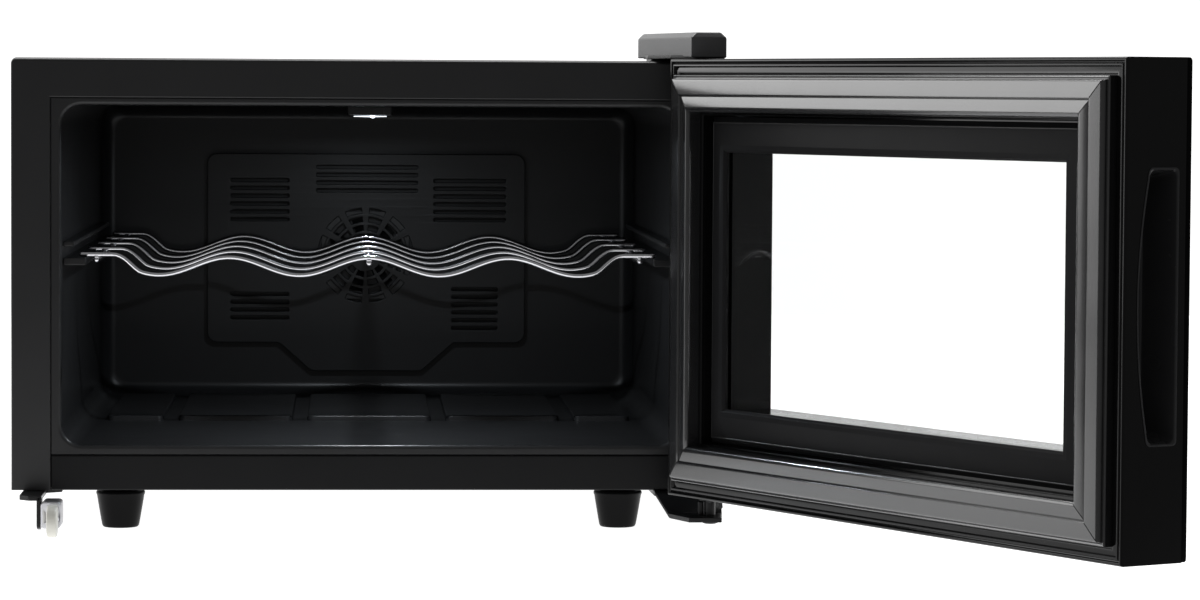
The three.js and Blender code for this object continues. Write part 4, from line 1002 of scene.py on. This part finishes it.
def door_handle():
    """The pocket: its back, its outside, the rim that stands proud, and its inside."""
    sections = [(23.8, -3.0), (23.2, -1.0), (20, -0.1), (0.3, 0), (0.05, 0.7), (-0.25, 0.9), (-0.35, 0.5),
                (-0.2, -0.1), (0.5, -0.7), (4, -1.4), (12, -2.9), (19, -4.4), (21, -5.4), (21.8, -7.4)]
    pocket = handle_loft("handle_recess", [(depth - HALF, grow) for depth, grow in sections])
    finish_piece(pocket, "pocket", "door", "handle_insert")


def gasket():
    profile = [(9.5, 1.5), (9.5, -2.7), (9.7, -3.3), (10.2, -3.7), (10.8, -3.6), (11.2, -3.3), (11.5, -3.4),
               (11.7, -5.2), (11.9, -5.9), (12.4, -6.4), (13.4, -6.65), (17.4, -7.15), (20.6, -7.5), (21.3, -7.45),
               (21.7, -7.0), (21.95, -6.1), (22.2, -6.2), (22.7, -6.45), (25.4, -7.1), (28.0, -7.6), (29.4, -7.7),
               (30.5, -7.2), (31.1, -6.3), (31.4, -5.0), (31.4, 1.5)]
    piece = mitred("seal_gasket", profile, per_side=36, wobble=0.06, groove=0.7, sharp=40)
    finish_piece(piece, "gasket", "door", "door_gasket")


def retainer():
    outline = [(34, 10.1), (34.2, 9.3), (37.5, 7.1), (50.4, 3.5), (53.2, 3.5), (54.7, 5), (54.7, 6.9), (37.7, 7.8),
               (37.7, 10.1)]
    profile = fillet(outline, [0.2, 0.5, 1.6, 1.0, 0.8, 0.5, 0.2, 0.2, 0.2])
    finish_piece(mitred("window_retainer", profile), "retainer", "door", "glass_retainer")
    bead = circle(37.3, 7.3, 0.5, 12)
    finish_piece(mitred("retainer_bead", bead, sharp=60), "trim", "door")


def darken_edges(pane):
    """Gives the pane's edge faces a near-black colour, a painted reflection: clear glass edges look black because
    they see only the frame round them.
    """
    pane.data.materials.append(M["glass_edge"])
    across = (DOOR.to_3x3() @ Vector((0, 1, 0))).normalized()
    for face in pane.data.polygons:
        if abs(face.normal.dot(across)) < 0.98:
            face.material_index = 1


def panes():
    for name, node, inset, near, far, radius in (("pane_inner", "inner_glass", 38, 8.1, 10.2, 1),
                                                 ("pane_outer", "outer_glass", 0, 39.6, 43, 2)):
        outline = rectangle(-HALF + inset, HALF - inset, DOOR_LOW + inset, DOOR_HIGH - inset, radius)
        pane = plate(name, outline, [], -(SEAL + far), -(SEAL + near), "y", 0.4, DOOR, sharp=5)
        finish_piece(pane, "glass", "door", node)
        darken_edges(pane)


def build():
    cabinet_wrap()
    bottom_rail()
    back_panel()
    fan_guard()
    liner_tub()
    shelf_guides()
    floor_platform()
    air_cover()
    shelf_wires()
    lamp()
    feet()
    hinge_parts()
    hinge_bracket()
    door_closer()
    lock_parts()
    key_parts()
    screws()
    inlet()
    rotor("rear_wheel", 34.6, 14, 7.8, 438.6, "rear_fan", "rear_fan_rotor")
    rotor("inner_wheel", 25.6, 11, 6.6, 380.1, "inner_fan", "inner_fan_rotor")
    door_frame()
    door_handle()
    gasket()
    retainer()
    panes()


build()

CARRIED = {
    "bottom_panel": "paint", "cabinet_foam": "foam", "cold_sink": "aluminium", "cold_block": "aluminium",
    "peltier_module": "ceramic", "hot_sink": "aluminium", "inner_fan_frame": "trim", "rear_fan_frame": "trim",
    "drain_tube": "tube", "drip_tray": "trim", "power_supply_board": "board", "transformer": "ivory",
    "supply_capacitor": "black_metal", "lamp_board": "board", "temperature_probe": "zinc", "door_foam": "foam",
    "glass_spacer": "spacer", "front_mask": "mask", "control_board": "board", "display_module": "trim",
    "bottom_hinge_bush": "ivory", "top_hinge_bush": "ivory",
}
for node, material in CARRIED.items():
    data = frame["nodes"][node].data
    data.materials.clear()
    data.materials.append(M[material])


# ---------------------------------------------------------------- stage and light
def make_stage():
    """The floor, in metres."""
    n = Nodes("pale_floor")
    pale = [(0.3, (0.44, 0.44, 0.445)), (0.7, (0.47, 0.47, 0.472))]
    n.drive(colour_ramp(n.tree, n.noise(1.5, 3), pale), "Base Color")
    n.set(Roughness=0.8, Specular_IOR_Level=0.2, Emission_Color=(1, 1, 1, 1), Emission_Strength=1.02)
    mesh = bpy.data.meshes.new("floor")
    outline = rectangle(-1.5, 1.5, -0.47, 2.4, 0.3, 12)
    mesh.from_pydata([(x, y, 0) for x, y in outline], [], [tuple(range(len(outline)))])
    mesh.materials.append(n.material)
    add_object("floor", mesh)


def area_light(name, at, target, size, power, colour=(1, 1, 1)):
    """A rectangular light that no camera sees, in metres and watts."""
    data = bpy.data.lights.new(name, "AREA")
    data.shape = "RECTANGLE"
    data.size, data.size_y = size
    data.energy = power
    data.color = colour
    light = add_object(name, data)
    at, target = Vector(at), Vector(target)
    light.matrix_world = Matrix.Translation(at) @ (target - at).to_track_quat("-Z", "Y").to_matrix().to_4x4()
    light.visible_camera = False
    light.visible_transmission = False
    return light


# Brightness of the studio's surroundings from straight in front (0) to straight behind (1).
STUDIO = ((0.0, 0.22), (0.45, 0.2), (0.75, 0.24), (0.93, 1.0))


def make_world():
    """A white sweep seen directly, and a studio that is bright behind and dark in front in reflections."""
    world = bpy.data.worlds.new("studio")
    scene.world = world
    world.use_nodes = True
    tree = world.node_tree
    link = tree.links.new
    studio = tree.nodes["Background"]
    sweep = make_node(tree, "Background", Strength=1.6)
    split = make_node(tree, "SeparateXYZ")
    reach = make_node(tree, "MapRange", From_Min=-1)
    link(make_node(tree, "TexCoord").outputs["Generated"], split.inputs["Vector"])
    link(split.outputs["Y"], reach.inputs["Value"])
    stops = [(at, (value, value, value)) for at, value in STUDIO]
    link(colour_ramp(tree, reach.outputs["Result"], stops), studio.inputs["Color"])
    path = make_node(tree, "LightPath")
    seen = make_node(tree, "Math")
    seen.operation = "MAXIMUM"
    link(path.outputs["Is Camera Ray"], seen.inputs[0])
    link(path.outputs["Is Transmission Ray"], seen.inputs[1])
    mix = make_node(tree, "MixShader")
    link(seen.outputs["Value"], mix.inputs["Fac"])
    link(studio.outputs["Background"], mix.inputs[1])
    link(sweep.outputs["Background"], mix.inputs[2])
    link(mix.outputs["Shader"], tree.nodes["World Output"].inputs["Surface"])


def make_light():
    area_light("overhead", (0, 1.2, 2.6), (0, 0.4, 0), (3.2, 1.6), 80)
    area_light("back_left_bank", (-2.5, 1.4, 1.0), (0.2, -0.2, 0.2), (2.0, 1.7), 34)
    area_light("left_bank", (-2.8, 0.05, 0.7), (0.3, -0.3, 0.15), (0.9, 1.4), 7)
    lamp_at = CAB @ Vector((LAMP["x"], 45, 223.2))
    below = lamp_at - Vector((0, 0, 1))
    lamp_light = area_light("cavity_lamp", lamp_at, below, (0.02, 0.006), 0.55, (0.84, 0.92, 1))
    lamp_light.data.spread = math.radians(175)


make_stage()
make_world()
make_light()
scene.view_settings.view_transform = "Standard"
